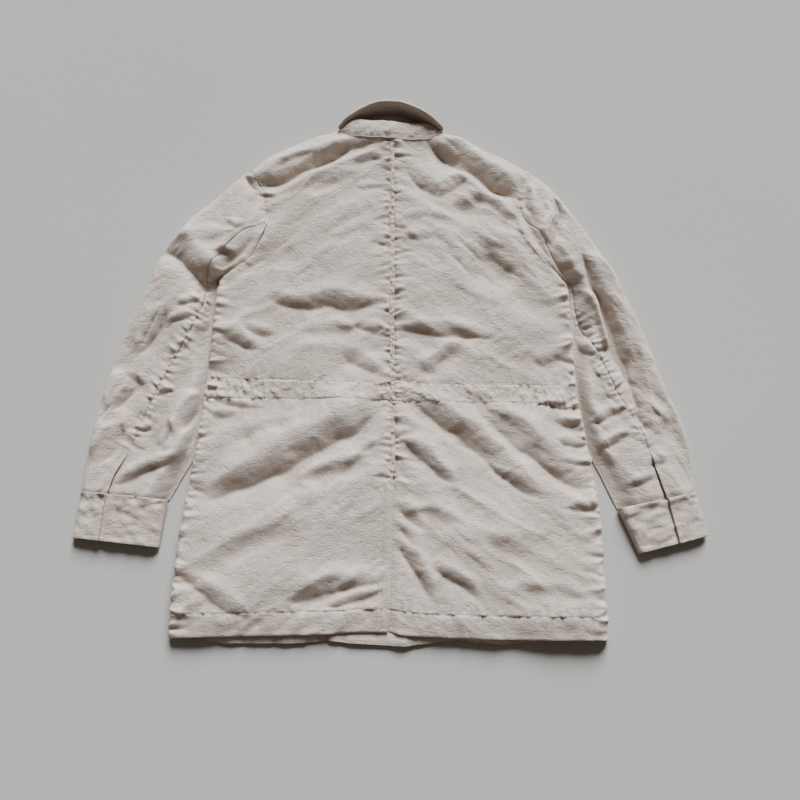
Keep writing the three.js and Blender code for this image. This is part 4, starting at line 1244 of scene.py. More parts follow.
def back_height(side: Side, row: Array, x: Array, y: Array) -> Array:
    """Height of the back's outer face.

    Args:
        side: Side of the back.
        row: Row of each point.
        x: X of the points.
        y: Y of the points.

    Returns:
        Height of each point above the floor.
    """
    centre, middle, edge = (BODY_ROWS.at(key, row) for key in ("centre", "middle", "side"))
    seam = BODY_ROWS.at("mid_x", row)
    reach = BODY_ROWS.at(f"{side.word}_x", row) - seam
    u = np.minimum(np.abs((x - seam) / reach), 1)
    crown = centre * (1 - u) * (1 - 2 * u) + middle * 4 * u * (1 - u) + edge * u * (2 * u - 1)
    width = np.abs(reach) * (1 - u)
    closed = np.clip(BODY_ROWS.at("closed", row), 0, 1)
    side_roll = 1 - closed * (1 - roll(width, SIDE_ROLL, SIDE_FULLNESS))
    below_edge = along_x(BACK_TOP, "y", x) - y
    shoulder = smooth(*SHOULDER_STARTS, np.abs(x))
    top_roll = 1 - shoulder * (1 - roll(below_edge, SHOULDER_ROLL, ROLL_FULLNESS))
    below = along_x(HEM_TABLE, "y", x) - y
    droop = HEM_DROOP * smooth(0, HEM_DEPTH, below) * between(0.35, 1.0, smooth(10, 120, np.abs(x)))
    fold = BACK_RELIEF.height(x, y) + (-HEM_STEP * smooth(-0.9, 0.9, below) - droop)
    low = between(RIM, SIDE_EDGE, closed)
    return low + np.maximum(crown - low + fold, 1.0) * side_roll * top_roll


def both_backs(row: float, x: Array, y: Array, on_left: Array) -> Array:
    """Height of the backs' outer face on one row.

    Args:
        row: The row.
        x: X of the points.
        y: Y of the points.
        on_left: Which points lie on the left back.

    Returns:
        Height of each point above the floor.
    """
    rows = np.full(x.shape, float(row))
    return np.where(on_left, back_height(Side.LEFT, rows, x, y), back_height(Side.RIGHT, rows, x, y))


def body_length() -> float:
    """Distance from the first row of the body to the last, along the centre seam."""
    return float(BODY_ROWS.at("mid_y", 0) - BODY_ROWS.at("mid_y", BODY_ROWS.last))


@dataclass
class Back(Pair):
    """The two backs, joined by the centre seam down to the vent."""

    finish: bpy.types.Material
    row_step: float = 2.5
    columns: int = 112
    lap_columns: int = 12
    first_rows: tuple[float, ...] = (0, 0.3, 0.9, 1.8, 3.0, 4.4, 6.2, 8.2)
    fine_bands: tuple[tuple[float, float], ...] = ((402, 414), (430, 442), (747, 765))
    fineness: float = 0.48               # step of the rows along the stitched lines
    vent_opens: Point = (24.0, 4.0)      # above the vent's top, where its two layers part
    lap_lift: float = 0.9                # how far the left back's edge lifts there
    waver: float = 1.9                   # how uneven the side seam's line is
    waver_width: float = 14.0            # width over which that fades out
    side_turn: tuple[Point, ...] = ((0.5, 2.3), (1.8, 4.2), (3.4, 5.4))   # inward and down
    hem_turn: tuple[Point, ...] = ((-0.4, 0.7), (0.2, 1.5), (2.5, 1.9))

    def shares(self) -> Array:
        """Shares across a half, closest together beside the centre seam and the edge.

        Returns:
            A share for each column.
        """
        fine = np.linspace(0, 1, 801)
        crowd = 1 + 2.2 * np.exp(-((fine / 0.045) ** 2)) + 0.9 * smooth(0.9, 1.0, fine)
        total = np.concatenate([[0], np.cumsum((crowd[1:] + crowd[:-1]) / 2)])
        share = np.interp(np.linspace(0, total[-1], self.columns), total, fine)
        share[-3:-1] = [0.992, 0.9975]
        return share

    def depths(self, total: float) -> Array:
        """Distances of the rows down from the first, closer together along the stitched lines.

        Args:
            total: Distance of the last row.

        Returns:
            A distance for each row.
        """
        places = list(self.first_rows)
        while places[-1] < total - 2:
            crowded = any(low < places[-1] < high for low, high in self.fine_bands)
            places.append(places[-1] + self.row_step * (self.fineness if crowded else 1.0))
        return np.array([*places[:-1], total])

    def columns_of(self, side: Side, row: float) -> Array:
        """X of each point along a row. Below the vent's top the right back reaches under.

        Args:
            side: Side of the back.
            row: Row, which may be a fraction.

        Returns:
            X of each column.
        """
        seam = float(BODY_ROWS.at("mid_x", row))
        edge = float(BODY_ROWS.at(f"{side.word}_x", row))
        share = self.shares()
        if side is Side.LEFT:
            return between(seam, edge, share)
        lap = smooth(VENT_TOP, VENT_TOP - VENT_RUN, float(BODY_ROWS.at("mid_y", row)))
        lead = np.linspace(0, 1, self.lap_columns, endpoint=False)
        plain = between(-TUCK, VENT_STEP, lead)
        under = between(-VENT_UNDERLAP, VENT_STEP, lead)
        start = seam + VENT_STEP
        return np.concatenate([seam + between(plain, under, lap), between(start, edge, share)])

    def grid(self, side: Side) -> Array:
        """Points of one back.

        Args:
            side: Side of the piece.

        Returns:
            The grid, in millimetres.
        """
        total = body_length()
        rows = rows_by_depth(BODY_ROWS, "mid_y", self.depths(total))
        x = np.stack([self.columns_of(side, row) for row in rows])
        row = np.repeat(rows[:, None], x.shape[1], axis=1)
        y = body_plan(side, x, row, BACK_TOP, BACK_HEM)
        z = back_height(side, row, x, y)
        open_vent = smooth(*(VENT_TOP + above for above in self.vent_opens), y)
        if side is Side.RIGHT:
            z = z - VENT_DROP * smooth(VENT_STEP, 3, x) * open_vent
            under = smooth(1.6, 0.2, x - BODY_ROWS.at("mid_x", row))
            z = z - TUCK_DROP * under * (1 - open_vent)
        else:
            z = z + self.lap_lift * smooth(-14, -1, x) * open_vent
        closed = np.clip(BODY_ROWS.at("closed", row), 0, 1)
        reach = np.abs(BODY_ROWS.at(f"{side.word}_x", row) - x)
        waver = Grain(14, 9, self.waver, seed=51).height(x, y) * closed
        grid = np.stack([x + waver * smooth(self.waver_width, 0, reach), y, z], axis=2)
        return self.turned_hem(self.turned_side(grid, side, closed))

    def turned_side(self, grid: Array, side: Side, closed: Array) -> Array:
        """Turns the side's edge under, down to the front.

        Args:
            grid: Points of the back.
            side: Side of the back.
            closed: How far each row's side is sewn shut, from 0 to 1.

        Returns:
            The points with the columns that are turned under.
        """
        edge, shut = grid[:, -1:], closed[:, -1:]
        added = []
        for inward, fall in self.side_turn:
            column = edge.copy()
            column[:, :, 0] -= side.value * inward
            column[:, :, 2] -= fall * between(0.25, 1.0, shut)
            added.append(column)
        return np.concatenate([grid, *added], axis=1)

    def turned_hem(self, grid: Array) -> Array:
        """Turns the hem under.

        Args:
            grid: Points of the back.

        Returns:
            The points with the rows that are turned under.
        """
        added = []
        for inward, fall in self.hem_turn:
            row = grid[-1:].copy()
            row[:, :, 1] += inward
            row[:, :, 2] -= fall
            added.append(row)
        return np.concatenate([grid, *added], axis=0)

    def sheet(self, side: Side) -> ClothSheet:
        """The back for one side. The right one is wider by its underlap."""
        return ClothSheet(
            name=f"back_{side.word}_cloth", grid=self.grid(side),
            flat=(345 if side is Side.LEFT else 395, 840), area=0.85,
            replaces=(f"back_{side.word}",), held="laid", rests_on=(f"front_{side.word}_cloth",),
        )


@dataclass
class WaistCasing(Pair):
    """Casing for a drawstring, a narrow strip stitched along both edges on each back."""

    finish: bpy.types.Material
    fullness: float = 0.7                # height of the strip's middle above the back
    sunk: float = 0.3                    # how far the stitched edges are pulled into the back
    columns: int = 190
    rows: int = 25

    def grid(self, side: Side) -> Array:
        """Points of the strip on one back, from its upper to its lower edge.

        Args:
            side: Side of the piece.

        Returns:
            The grid, in millimetres.
        """
        rows = np.linspace(CASING_TOP_ROW, CASING_FOOT_ROW, self.rows)
        share = np.linspace(0.002, 0.985, self.columns)
        row, u = np.meshgrid(rows, share, indexing="ij")
        seam = BODY_ROWS.at("mid_x", row) + side.value * 4.0
        x = between(seam, BODY_ROWS.at(f"{side.word}_x", row), u)
        y = body_plan(side, x, row, BACK_TOP, BACK_HEM)
        across = (row - CASING_TOP_ROW) / (CASING_FOOT_ROW - CASING_TOP_ROW)
        puffed = roll(np.minimum(across, 1 - across), 0.25)
        crinkles = total_height(x, y, Grain(9, 18, 2.3, 0.6, 61), Grain(5, 8, 0.9, 0.3, 62),
                                Crumple(12, 8, 2.6, 0.6, 63))
        strength = between(0.6, 1.4, smooth(90, 270, np.abs(x)))
        full = np.maximum(self.fullness + crinkles * strength, 0.1) + self.sunk
        z = back_height(side, row, x, y) - self.sunk + full * puffed
        return np.stack([x, y, z], axis=2)

    def sheet(self, side: Side) -> ClothSheet:
        """The half of the casing on one back."""
        return ClothSheet(
            name=f"waist_casing_{side.word}_cloth", grid=self.grid(side), flat=(310, 34),
            area=0.98, replaces=(f"waist_casing_{side.word}",), held="laid",
            rests_on=(f"back_{side.word}_cloth",), thickness=0.35,
        )


@dataclass
class Fronts(Pair):
    """The two fronts, which lie on the floor with the right one over the left."""

    finish: bpy.types.Material
    row_step: float = 5.0
    column_step: float = 5.5
    hem_lift: float = 16.0               # height of the hem where it hangs under the back's
    lift_length: float = 60.0            # length over which it comes up to there
    last_rows: tuple[float, ...] = (11.0, 8.0, 5.5, 3.5, 2.0, 0.8, 0.0)   # above the hem
    overlap: float = 3.0                 # how far the right front lies above the left one
    lowest: float = 1.2                  # height of the cloth on the floor
    widest: float = 380.0                # what the columns are counted for
    inset: float = 1.5                   # from the body's edge to the front's
    clearance: float = 4.5               # left free below the back's hem and the vent's step

    def grid(self, side: Side) -> Array:
        """Points of one front.

        Args:
            side: Side of the piece.

        Returns:
            The grid, in millimetres.
        """
        free = FRONT_LEFT_EDGE if side is Side.LEFT else FRONT_RIGHT_EDGE
        total = body_length()
        edge_rows = total - np.array(self.last_rows)
        depths = np.concatenate([np.arange(0, total - 12, self.row_step), edge_rows])
        rows = rows_by_depth(BODY_ROWS, "mid_y", depths)
        count = int(self.widest / self.column_step)
        row, share = np.meshgrid(rows, np.linspace(0, 1, count), indexing="ij")
        x = between(free, BODY_ROWS.at(f"{side.word}_x", row) - side.value * self.inset, share)
        y = np.where(x < 0, body_plan(Side.LEFT, x, row, FRONT_TOP, FRONT_HEM),
                     body_plan(Side.RIGHT, x, row, FRONT_TOP, FRONT_HEM))
        step = self.overlap * smooth(FRONT_LEFT_EDGE + 15, FRONT_LEFT_EDGE + 3, x)
        step = step * (side is Side.RIGHT)
        hem = along_x(FRONT_HEM, "y", x)
        near_hem = smooth(self.lift_length, 0, y - hem)
        middle = smooth(-300, -235, x) * smooth(250, 175, x)
        wave = Grain(60, 400, 3.0, seed=71).height(x, y)
        fallen = 1 - 0.3 * smooth(7, 0, y - hem)
        if side is Side.LEFT:
            fallen = fallen * (1 - 0.5 * smooth(-118, -96, x))
        else:
            fallen = fallen * (1 - 0.35 * smooth(-78, -92, x))
        above = both_backs(BODY_ROWS.last, x, along_x(BACK_HEM, "y", x),
                           x < BODY_ROWS.at("mid_x", BODY_ROWS.last))
        room = np.maximum(above - VENT_DROP - self.clearance, 0)
        lift = np.minimum(self.hem_lift + wave, room) * near_hem * middle * fallen
        wrinkles = total_height(x, y, Grain(13, 50, 2.6, seed=73), Grain(6, 20, 0.9, seed=74))
        lift += np.minimum(wrinkles, 0.5) * near_hem * middle * smooth(0, 6, lift)
        gentle = Grain(70, 60, 0.5, seed=72).height(x, y)
        return np.stack([x, y, self.lowest + np.abs(gentle) + step + lift], axis=2)

    def sheet(self, side: Side) -> ClothSheet:
        """The front for one side. The right one is wider, because it overlaps."""
        under = ("floor",) if side is Side.LEFT else ("front_left_cloth", "floor")
        return ClothSheet(
            name=f"front_{side.word}_cloth", grid=self.grid(side),
            flat=(355 if side is Side.LEFT else 420, 860), area=0.85,
            replaces=(f"front_{side.word}",), held="laid", rests_on=under, thickness=0.9,
        )


def front_top() -> Table:
    """Upper edge of the fronts: the shoulder seams, and the collar's foot between them.

    Returns:
        A table of its points from left to right.
    """
    arch = np.stack([COLLAR_ARCH.values["x"], COLLAR_ARCH.values["y"]], axis=1)
    top = np.stack([BACK_TOP.values["x"], BACK_TOP.values["y"]], axis=1)
    outer = top[np.abs(top[:, 0]) > NECK_HALF_WIDTH]
    points = np.concatenate([outer, arch[np.abs(arch[:, 0]) < NECK_HALF_WIDTH - 0.5]])
    return Table("x y", [tuple(p) for p in points[np.argsort(points[:, 0])]])


FRONT_TOP = front_top()


@dataclass
class Sleeve:
    """One sleeve: an upper piece round its outer edge, and a narrower one beside the body."""

    side: Side
    finish: bpy.types.Material
    row_step: float = 2.3
    top_columns: int = 66
    under_columns: int = 34
    floor_columns: int = 16
    lowest: float = 0.8                  # height of the lower layer
    groove: float = 0.7                  # depth of the back seam
    seam_starts: float = 0.03            # least share at which the back seam shows
    blend: float = 16.0                  # width over which its folds take over from the back's
    least_crown: float = 3.0             # least height of the cloth above the outer edge
    slopes: Point = (36.0, 22.0)         # widths over which it rises beside the body
    foot_drop: float = 2.6               # how far the sleeve's end dips into the cuff

    def __post_init__(self) -> None:
        """Works out the sections along the sleeve. The first ones start on the body's edge."""
        rows = [list(row) for row in SLEEVE_ROWS[self.side]]
        word = self.side.word
        spacing = BODY_ROWS.at(f"{word}_y", SHARED_ROW) - rows[SHARED_ROW + 1][1]
        shared_x = float(BODY_ROWS.at(f"{word}_x", SHARED_ROW)) + self.side.value * 2 * SEAM_GAP
        shared_y = float(BODY_ROWS.at(f"{word}_y", SHARED_ROW))
        for i in range(SHARED_ROW + 1):
            rows[i][:2] = [shared_x, shared_y + (SHARED_ROW - i) * float(spacing)]
        table = Table(SLEEVE_COLUMNS, [tuple(row) for row in rows])
        fine = table.parts(60)
        along = travel(table.places(fine, "outer_"))
        places = np.linspace(0, along[-1], int(along[-1] / self.row_step) + 1)
        row = np.interp(places, along, fine)
        self.row = row
        shared = row <= SHARED_ROW
        body_row = np.minimum(row, SHARED_ROW)
        edge_x = BODY_ROWS.at(f"{word}_x", body_row)
        edge_y = body_plan(self.side, edge_x, body_row, BACK_TOP, BACK_HEM)
        away = np.gradient(np.stack([edge_x, edge_y], axis=1), axis=0)
        length = np.maximum(np.hypot(*away.T), 1e-6)
        tuck_x = self.side.value * np.abs(away[:, 1]) / length * TUCK
        tuck_y = self.side.value * away[:, 0] / length * TUCK
        under_side = self.side.value * 4.0 * smooth(15, 13.5, row)
        self.inner_x = np.where(shared, edge_x - tuck_x, table.at("inner_x", row) - under_side)
        self.inner_y = np.where(shared, edge_y - tuck_y, table.at("inner_y", row))
        self.outer_x, self.outer_y = table.places(row, "outer_").T
        self.seam = np.clip(table.at("seam", row), 0, 1)
        self.crown = table.at("crown", row)
        self.closed = np.where(shared, np.clip(BODY_ROWS.at("closed", body_row), 0, 1), 1)
        self.inner = np.where(shared, BODY_ROWS.at("side", body_row), SLEEVE_INNER)
        self.edge_fold = BACK_RELIEF.height(edge_x, edge_y) * (1 - self.closed)
        self.width = np.hypot(self.outer_x - self.inner_x, self.outer_y - self.inner_y)
        self.inner_slope = between(*self.slopes, smooth(10, 11.5, row) * smooth(14.5, 13.5, row))
        self.relief = Relief(SLEEVE_RELIEF[self.side].parts + SLEEVE_GATHERS[self.side])

    def plan(self, share: Array) -> tuple[Array, Array]:
        """X and Y at shares across each section, from its inner to its outer edge."""
        return (between(self.inner_x[:, None], self.outer_x[:, None], share),
                between(self.inner_y[:, None], self.outer_y[:, None], share))

    def top(self, share: Array) -> Array:
        """Points of the upper layer.

        Args:
            share: Shares across each section, from its inner to its outer edge.

        Returns:
            The grid, in millimetres.
        """
        x, y = self.plan(share)
        width, closed = self.width[:, None], self.closed[:, None]
        crown = between(self.inner[:, None], self.crown[:, None], smooth(0, 0.4, share))
        away = share * width
        own = smooth(0, self.blend, away)
        fold = self.relief.height(x, y) * own + self.edge_fold[:, None] * (1 - own)
        inner_roll = 1 - closed * (1 - smooth(0, self.inner_slope[:, None], away))
        keep = 1 - closed * (1 - smooth(3, 9, away))
        outer_roll = roll((1 - share) * width, SLEEVE_ROLL, ROLL_FULLNESS)
        low = between(SLEEVE_EDGE, RIM, smooth(0.4, 0, share))
        least = np.minimum(0.2 * away, self.least_crown)
        z = low + np.maximum((crown - low) * inner_roll + fold * keep, least) * outer_roll
        z = z - TUCK_DROP * smooth(TUCK + 1.6, TUCK - 0.4, away) * (1 - closed)
        from_seam = np.abs(share - self.seam[:, None]) * width
        z = z - self.groove * np.exp(-((from_seam / 2.4) ** 2)) * (self.seam[:, None] > self.seam_starts)
        foot = smooth(self.row[-1] - 0.35, self.row[-1] - 0.03, self.row)[:, None]
        return np.stack([x, y, np.maximum(z - self.foot_drop * foot, 2 * self.lowest)], axis=2)

    def bottom(self, share: Array) -> Array:
        """Points of the lower layer, which lies on the floor.

        Args:
            share: Shares across each section, from its inner to its outer edge.

        Returns:
            The grid, in millimetres.
        """
        x, y = self.plan(share)
        away = (1 - share) * self.width[:, None]
        z = self.lowest + (SLEEVE_EDGE - self.lowest) * (1 - roll(away, SLEEVE_EDGE))
        return np.stack([x, y, z], axis=2)

    def vent(self, points: Array, lift: float) -> Array:
        """Raises or lowers the cloth beside the vent at the sleeve's foot.

        Args:
            points: The grid, which is changed.
            lift: How far the vent's edge goes up.

        Returns:
            The same grid.
        """
        open_vent = smooth(-138, -160, points[:, :, 1])
        seam_x = between(self.inner_x, self.outer_x, self.seam)[:, None]
        points[:, :, 2] += lift * open_vent * smooth(9, 0, np.abs(points[:, :, 0] - seam_x))
        return points

    def build(self) -> list[bpy.types.Object]:
        """Makes the sleeve's two pieces.

        Returns:
            The upper and the under piece.
        """
        word = self.side.word
        share = np.linspace(0, 1, self.top_columns)
        share = between(share, np.sin(share * math.pi / 2), 0.5)[None, :]
        start = self.seam[:, None]
        over = self.vent(self.top(between(start, 1.0, share)), 1.6)
        down = 1 - np.linspace(0, 1, self.floor_columns)[None, :] ** 1.8
        under = self.bottom(np.repeat(down, len(self.row), axis=0)[:, 1:])
        upper = ClothSheet(
            name=f"sleeve_{word}_upper_cloth", grid=np.concatenate([over, under], axis=1),
            flat=(285, 560), area=0.74, replaces=(f"sleeve_{word}_upper",),
            held="laid", rests_on=("floor",),
        )
        used = self.seam > self.seam_starts
        across = np.linspace(0, 1, self.under_columns)[None, :] ** 1.3
        end = (self.seam + TUCK / self.width)[:, None]
        panel = self.top(between(0.0, end, across))
        to_seam = np.maximum(1 - across, 0) * end * self.width[:, None]
        panel[:, :, 2] -= TUCK_DROP * smooth(TUCK + 1.6, TUCK - 0.4, to_seam)
        panel = self.vent(panel, -1.8)[used]
        lower = ClothSheet(
            name=f"sleeve_{word}_under_cloth", grid=panel, flat=(95, 480), area=0.7,
            replaces=(f"sleeve_{word}_under",), held="laid",
            rests_on=(f"sleeve_{word}_upper_cloth",),
        )
        return [upper.build(self.finish), lower.build(self.finish)]


@dataclass
class Cuff:
    """A cuff: a double band round the sleeve's end, open at its slit."""

    side: Side
    finish: bpy.types.Material
    rows: int = 30
    top_columns: int = 34
    floor_columns: int = 22
    slit: float = 0.9                    # width of the slit
    lap: float = 6.0                     # how far one end reaches under the other
    reach: float = 2.6                   # how far the cuff's top edge lies over the sleeve
    hollow: float = 4.2                  # how far the lower layer lies below the outer edge

    def __post_init__(self) -> None:
        """Works out the sections along the cuff, each as a column of values."""
        table = Table(SLEEVE_COLUMNS, CUFF_ROWS[self.side])
        row = np.linspace(0, table.last, self.rows)
        self.inner, self.outer = table.places(row, "inner_"), table.places(row, "outer_")
        self.seam, self.crown = (table.at(key, row)[:, None] for key in ("seam", "crown"))
        self.width = np.hypot(*(self.outer - self.inner).T)[:, None]
        self.down = np.linspace(0, 1, self.rows)[:, None]

    def layer(self, share: Array, over: bool) -> Array:
        """Points of the upper or the lower layer.

        Args:
            share: Shares across each section, from its inner to its outer edge.
            over: True for the upper layer.

        Returns:
            The grid, in millimetres.
        """
        x = between(self.inner[:, :1], self.outer[:, :1], share)
        y = between(self.inner[:, 1:], self.outer[:, 1:], share) + self.reach * (1 - self.down) ** 3
        rise = roll(share * self.width, SLEEVE_ROLL) * roll((1 - share) * self.width, SLEEVE_ROLL)
        if not over:
            return np.stack([x, y, SLEEVE_EDGE - self.hollow * rise], axis=2)
        wrinkles = total_height(x, y, Grain(17, 9, 3.0, 0.4 * self.side.value, 81),
                                Grain(9, 34, 2.6, -0.3, 82), Crumple(16, 9, 4.0, 0.3, 84),
                                Grain(6, 4, 0.5, 0, 83))
        edge = 0.9 * (smooth(0.14, 0.08, self.down) + smooth(0.86, 0.93, self.down))
        top = self.crown - SLEEVE_EDGE + wrinkles * between(1, 0.35, self.down) + edge
        return np.stack([x, y, SLEEVE_EDGE + top * rise], axis=2)

    def build(self) -> bpy.types.Object:
        """Makes the cuff, from its slit round the outer edge, underneath and back to the slit.

        Returns:
            The cuff.
        """
        count = self.top_columns
        ease = np.sin(np.linspace(0, 1, count) * math.pi / 2)[None, :]
        first = self.layer(between(self.seam + self.slit / self.width, 1.0, ease), True)
        first[:, :, 2] += 1.5 * smooth(8, 0, np.arange(count))[None, :]
        inward = 1 - np.linspace(0, 1, self.floor_columns)[None, 1:]
        below = self.layer(np.repeat(inward, self.rows, axis=0), False)
        end = self.seam + self.lap / self.width
        back = self.layer(between(0.0, end, 1 - ease[:, ::-1])[:, 1:], True)
        back[:, :, 2] -= 2.0 * smooth(0.86, 0.95, np.linspace(0, 1, count - 1))[None, :]
        grid = np.concatenate([first, below, back], axis=1)
        word = self.side.word
        return ClothSheet(
            name=f"cuff_{word}_cloth", grid=grid, flat=(285, 72), area=0.98,
            replaces=(f"cuff_{word}",), held="folded", rests_on=("floor",),
            thickness=DOUBLE_CLOTH,
        ).build(self.finish)


@dataclass
class CollarBand:
    """The back of the collar, a crumpled band that leans over and turns in at its upper edge."""

    finish: bpy.types.Material
    half: float = 87.0                   # half its length
    depth: float = 29.0                  # full width of the band in plan
    room: float = 3.2                    # left free between the band and the arch
    columns: int = 130
    rows: int = 36
    profile: Table = field(default_factory=lambda: Table("north rise", [
        (-2.2, 0.9), (-0.6, 1.1), (4, 2.6), (11, 4.2), (18, 4.0), (24, 2.4), (28, -0.6),
        (29, -5), (28, -11),
    ]))

    def build(self) -> bpy.types.Object:
        """Makes the band.

        Returns:
            The piece.
        """
        row, t = np.meshgrid(np.linspace(0, self.profile.last, self.rows),
                             np.linspace(-1, 1, self.columns), indexing="ij")
        north, rise = self.profile.at("north", row), self.profile.at("rise", row)
        x = t * self.half
        foot = along_x(BACK_TOP, "y", x)
        spare = np.maximum(along_x(COLLAR_ARCH, "y", x) - self.room - foot, 0.4)
        narrow = np.minimum(spare / self.depth, 1)
        y = foot + np.where(north > 0, north * narrow, north)
        base = both_backs(0, x, foot - 1, x < 0)
        crumple = total_height(x, y, Grain(30, 14, 1.4, 0.3, 91), Grain(10, 8, 0.6, -0.5, 92),
                               Crumple(24, 12, 2.2, 0.6, 93), Crumple(9, 6, 0.9, -0.6, 94))
        seam = Gather(((-86, 384), (-34, 379), (0, 378), (31, 379), (86, 384)), 7, 1.2, 8, seed=94)
        stitched = crease(1.3, -0.8, (-88, 394), (-60, 384), (-34, 380), (0, 379), (31, 379),
                          (60, 383), (88, 393), fade=0.01)
        sewn = total_height(x, y, seam, stitched)
        free = np.clip(north / 6, 0, 1) * np.clip(narrow * 1.6, 0, 1) * smooth(6.6, 4.4, row)
        z = base + rise * between(0.3, 1, narrow) + crumple * free + sewn * free
        y = y + free * np.minimum(Grain(13, 60, 2.0, seed=95).height(x, y), 0.3)
        return ClothSheet(
            name="collar_back_cloth", grid=np.stack([x, y, z], axis=2), flat=(178, 46), area=0.9,
            replaces=("collar_back",), held="folded", rests_on=("back_left_cloth",),
            thickness=0.8,
        ).build(self.finish)


@dataclass
class CollarArch:
    """The front of the collar, which stands as an arch behind the neck."""

    finish: bpy.types.Material
    foot: float = 3.3                    # height of its foot where both fronts lie below it
    lone_foot: float = 1.2               # and where only the right one does
    centre_y: float = 357.5              # Y of the point from which it leans outward
    columns: int = 130
    rows: int = 20
    edge: tuple[Point, ...] = (          # its turned edge, as steps outward and up
        (0.4, 0.9), (1.9, 1.4), (3.4, 1.2), (4.8, 0.2), (5.2, -2.0), (4.6, -6.0),
    )

    def build(self) -> bpy.types.Object:
        """Makes the arch, with its upper edge turned over.

        Returns:
            The piece.
        """
        row, t = np.meshgrid(np.linspace(0, 1, self.rows),
                             np.linspace(0, COLLAR_ARCH.last, self.columns), indexing="ij")
        x, y, top = (COLLAR_ARCH.at(key, t) for key in ("x", "y", "top"))
        lean = Grain(40, 60, 1.2, seed=96).height(x, y) * row
        foot = self.lone_foot + (self.foot - self.lone_foot) * smooth(40, 26, x)
        height = between(foot, top - 1.4, row)
        bulge = -2.0 * np.sin(np.pi * row) + lean - 1.6
        away = np.stack([x, y - self.centre_y], axis=2)
        away /= np.linalg.norm(away, axis=2, keepdims=True)
        wave = Grain(17, 60, 0.6, seed=97).height(x, y)
        leaning = away * bulge[:, :, None]
        grid = np.stack([x + leaning[:, :, 0], y + leaning[:, :, 1], height + wave * row], axis=2)
        turned = []
        ends = smooth(0, 1.2, t[:1]) * smooth(0, 1.2, COLLAR_ARCH.last - t[:1])
        for outward, rise in self.edge:
            line = grid[-1:].copy()
            line[:, :, :2] += away[-1:] * outward * between(0.25, 1.0, ends)[:, :, None]
            line[:, :, 2] += rise
            turned.append(line)
        return ClothSheet(
            name="collar_front_cloth", grid=np.concatenate([grid, *turned], axis=0), flat=(215, 52),
            area=0.85, replaces=("collar_front",), held="folded",
            rests_on=("front_left_cloth", "front_right_cloth"), thickness=0.8,
            # the inside face gets the dark finish that paints the shade inside the arch
            inside=PAINTED_COLLAR_SHADE.material(),
        ).build(self.finish)


@dataclass
class Sewing:
    """Stitches, which are laid on the cloth below their lines."""

    finish: bpy.types.Material
    pitch: float = 3.4                   # from the start of one stitch to the next one's
    length: float = 2.5
    radius: float = 0.32
    in_centre: float = 4.0               # from the centre seam to each of its rows of stitches
    in_casing: float = 3.0               # from the casing's edges to their stitches
    in_armhole: float = 3.0
    in_sleeve: float = 2.2
    in_vent: float = 12.0
    in_cuff: float = 4.0
    in_collar: tuple[float, ...] = (2.2, 6.5)
    collar_rise: float = 0.0006          # how fast the collar's stitches curve up
    flatness: float = 0.7                # height of the thread against its width
    sides: int = 4                       # corners of each ring of points
    rings: tuple[tuple[float, float, float], ...] = (      # share of the length, size and lift
        (0, 0.35, -0.12), (0.2, 1, 0.06), (0.8, 1, 0.06), (1, 0.35, -0.12),
    )

    def lay(self, name: str, lines: Sequence[Array],
            sheets: Sequence[bpy.types.Object]) -> bpy.types.Object:
        """Makes the stitches of a few lines as one piece.

        Args:
            name: Name of the piece.
            lines: Lines in plan, each an array of places.
            sheets: Cloth that the stitches lie on.

        Returns:
            The piece.
        """
        trees = []
        for sheet in sheets:
            corners = [vertex.co for vertex in sheet.data.vertices]
            polygons = [tuple(polygon.vertices) for polygon in sheet.data.polygons]
            trees.append(BVHTree.FromPolygons(corners, polygons))
        points: list[Vector] = []
        faces: list[tuple[int, ...]] = []
        for line in lines:
            along = travel(line)
            for start in np.arange(self.pitch / 2, along[-1] - self.length, self.pitch):
                ends = []
                for place in (start, start + self.length):
                    x, y = (np.interp(place, along, line[:, k]) * MM for k in (0, 1))
                    hits = [tree.ray_cast(Vector((x, y, 0.3)), Vector((0, 0, -1))) for tree in trees]
                    heights = [hit[0] for hit in hits if hit[0] is not None]
                    if heights:
                        ends.append(max(heights, key=lambda p: p.z))
                if len(ends) == 2:
                    self.stitch(points, faces, *ends)
        mesh = bpy.data.meshes.new(name)
        mesh.from_pydata(points, [], faces)
        mesh.shade_smooth()
        mesh.materials.append(self.finish)
        made = bpy.data.objects.new(name, mesh)
        bpy.context.scene.collection.objects.link(made)
        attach(made, BODY)
        log.info("%s: %d stitches", name, len(points) // (self.sides * len(self.rings)))
        return made

    def stitch(self, points: list[Vector], faces: list[tuple[int, ...]], a: Vector,
               b: Vector) -> None:
        """Adds one stitch, a short bead that sinks into the cloth at both ends.

        Args:
            points: Points of all the stitches, to which its own are added.
            faces: Faces of all the stitches, to which its own are added.
            a: Where it starts.
            b: Where it ends.
        """
        along = (b - a).normalized()
        side = along.cross(Vector((0, 0, 1))).normalized()
        up = side.cross(along)
        first, sides = len(points), self.sides
        for share, size, lift in self.rings:
            centre = a.lerp(b, share) + up * (lift * MM)
            for turn in range(sides):
                angle = 2 * math.pi * turn / sides
                offset = side * math.cos(angle) + up * (self.flatness * math.sin(angle))
                points.append(centre + offset * (self.radius * size * MM))
        for start in range(first, len(points) - sides, sides):
            for turn in range(sides):
                i, j = start + turn, start + (turn + 1) % sides
                faces.append((i, j, j + sides, i + sides))
        faces.append(tuple(range(first + sides - 1, first - 1, -1)))
        faces.append(tuple(range(len(points) - sides, len(points))))


def beside(line: Sequence[Point], distance: float) -> Array:
    """A line moved sideways.

    Args:
        line: Places in plan.
        distance: How far, to the left hand where it is positive.

    Returns:
        An array of places, one row each.
    """
    points = smooth_line(line, 3.0)
    step = np.gradient(points, axis=0)
    step /= np.linalg.norm(step, axis=1, keepdims=True)
    return points + distance * np.stack([-step[:, 1], step[:, 0]], axis=1)


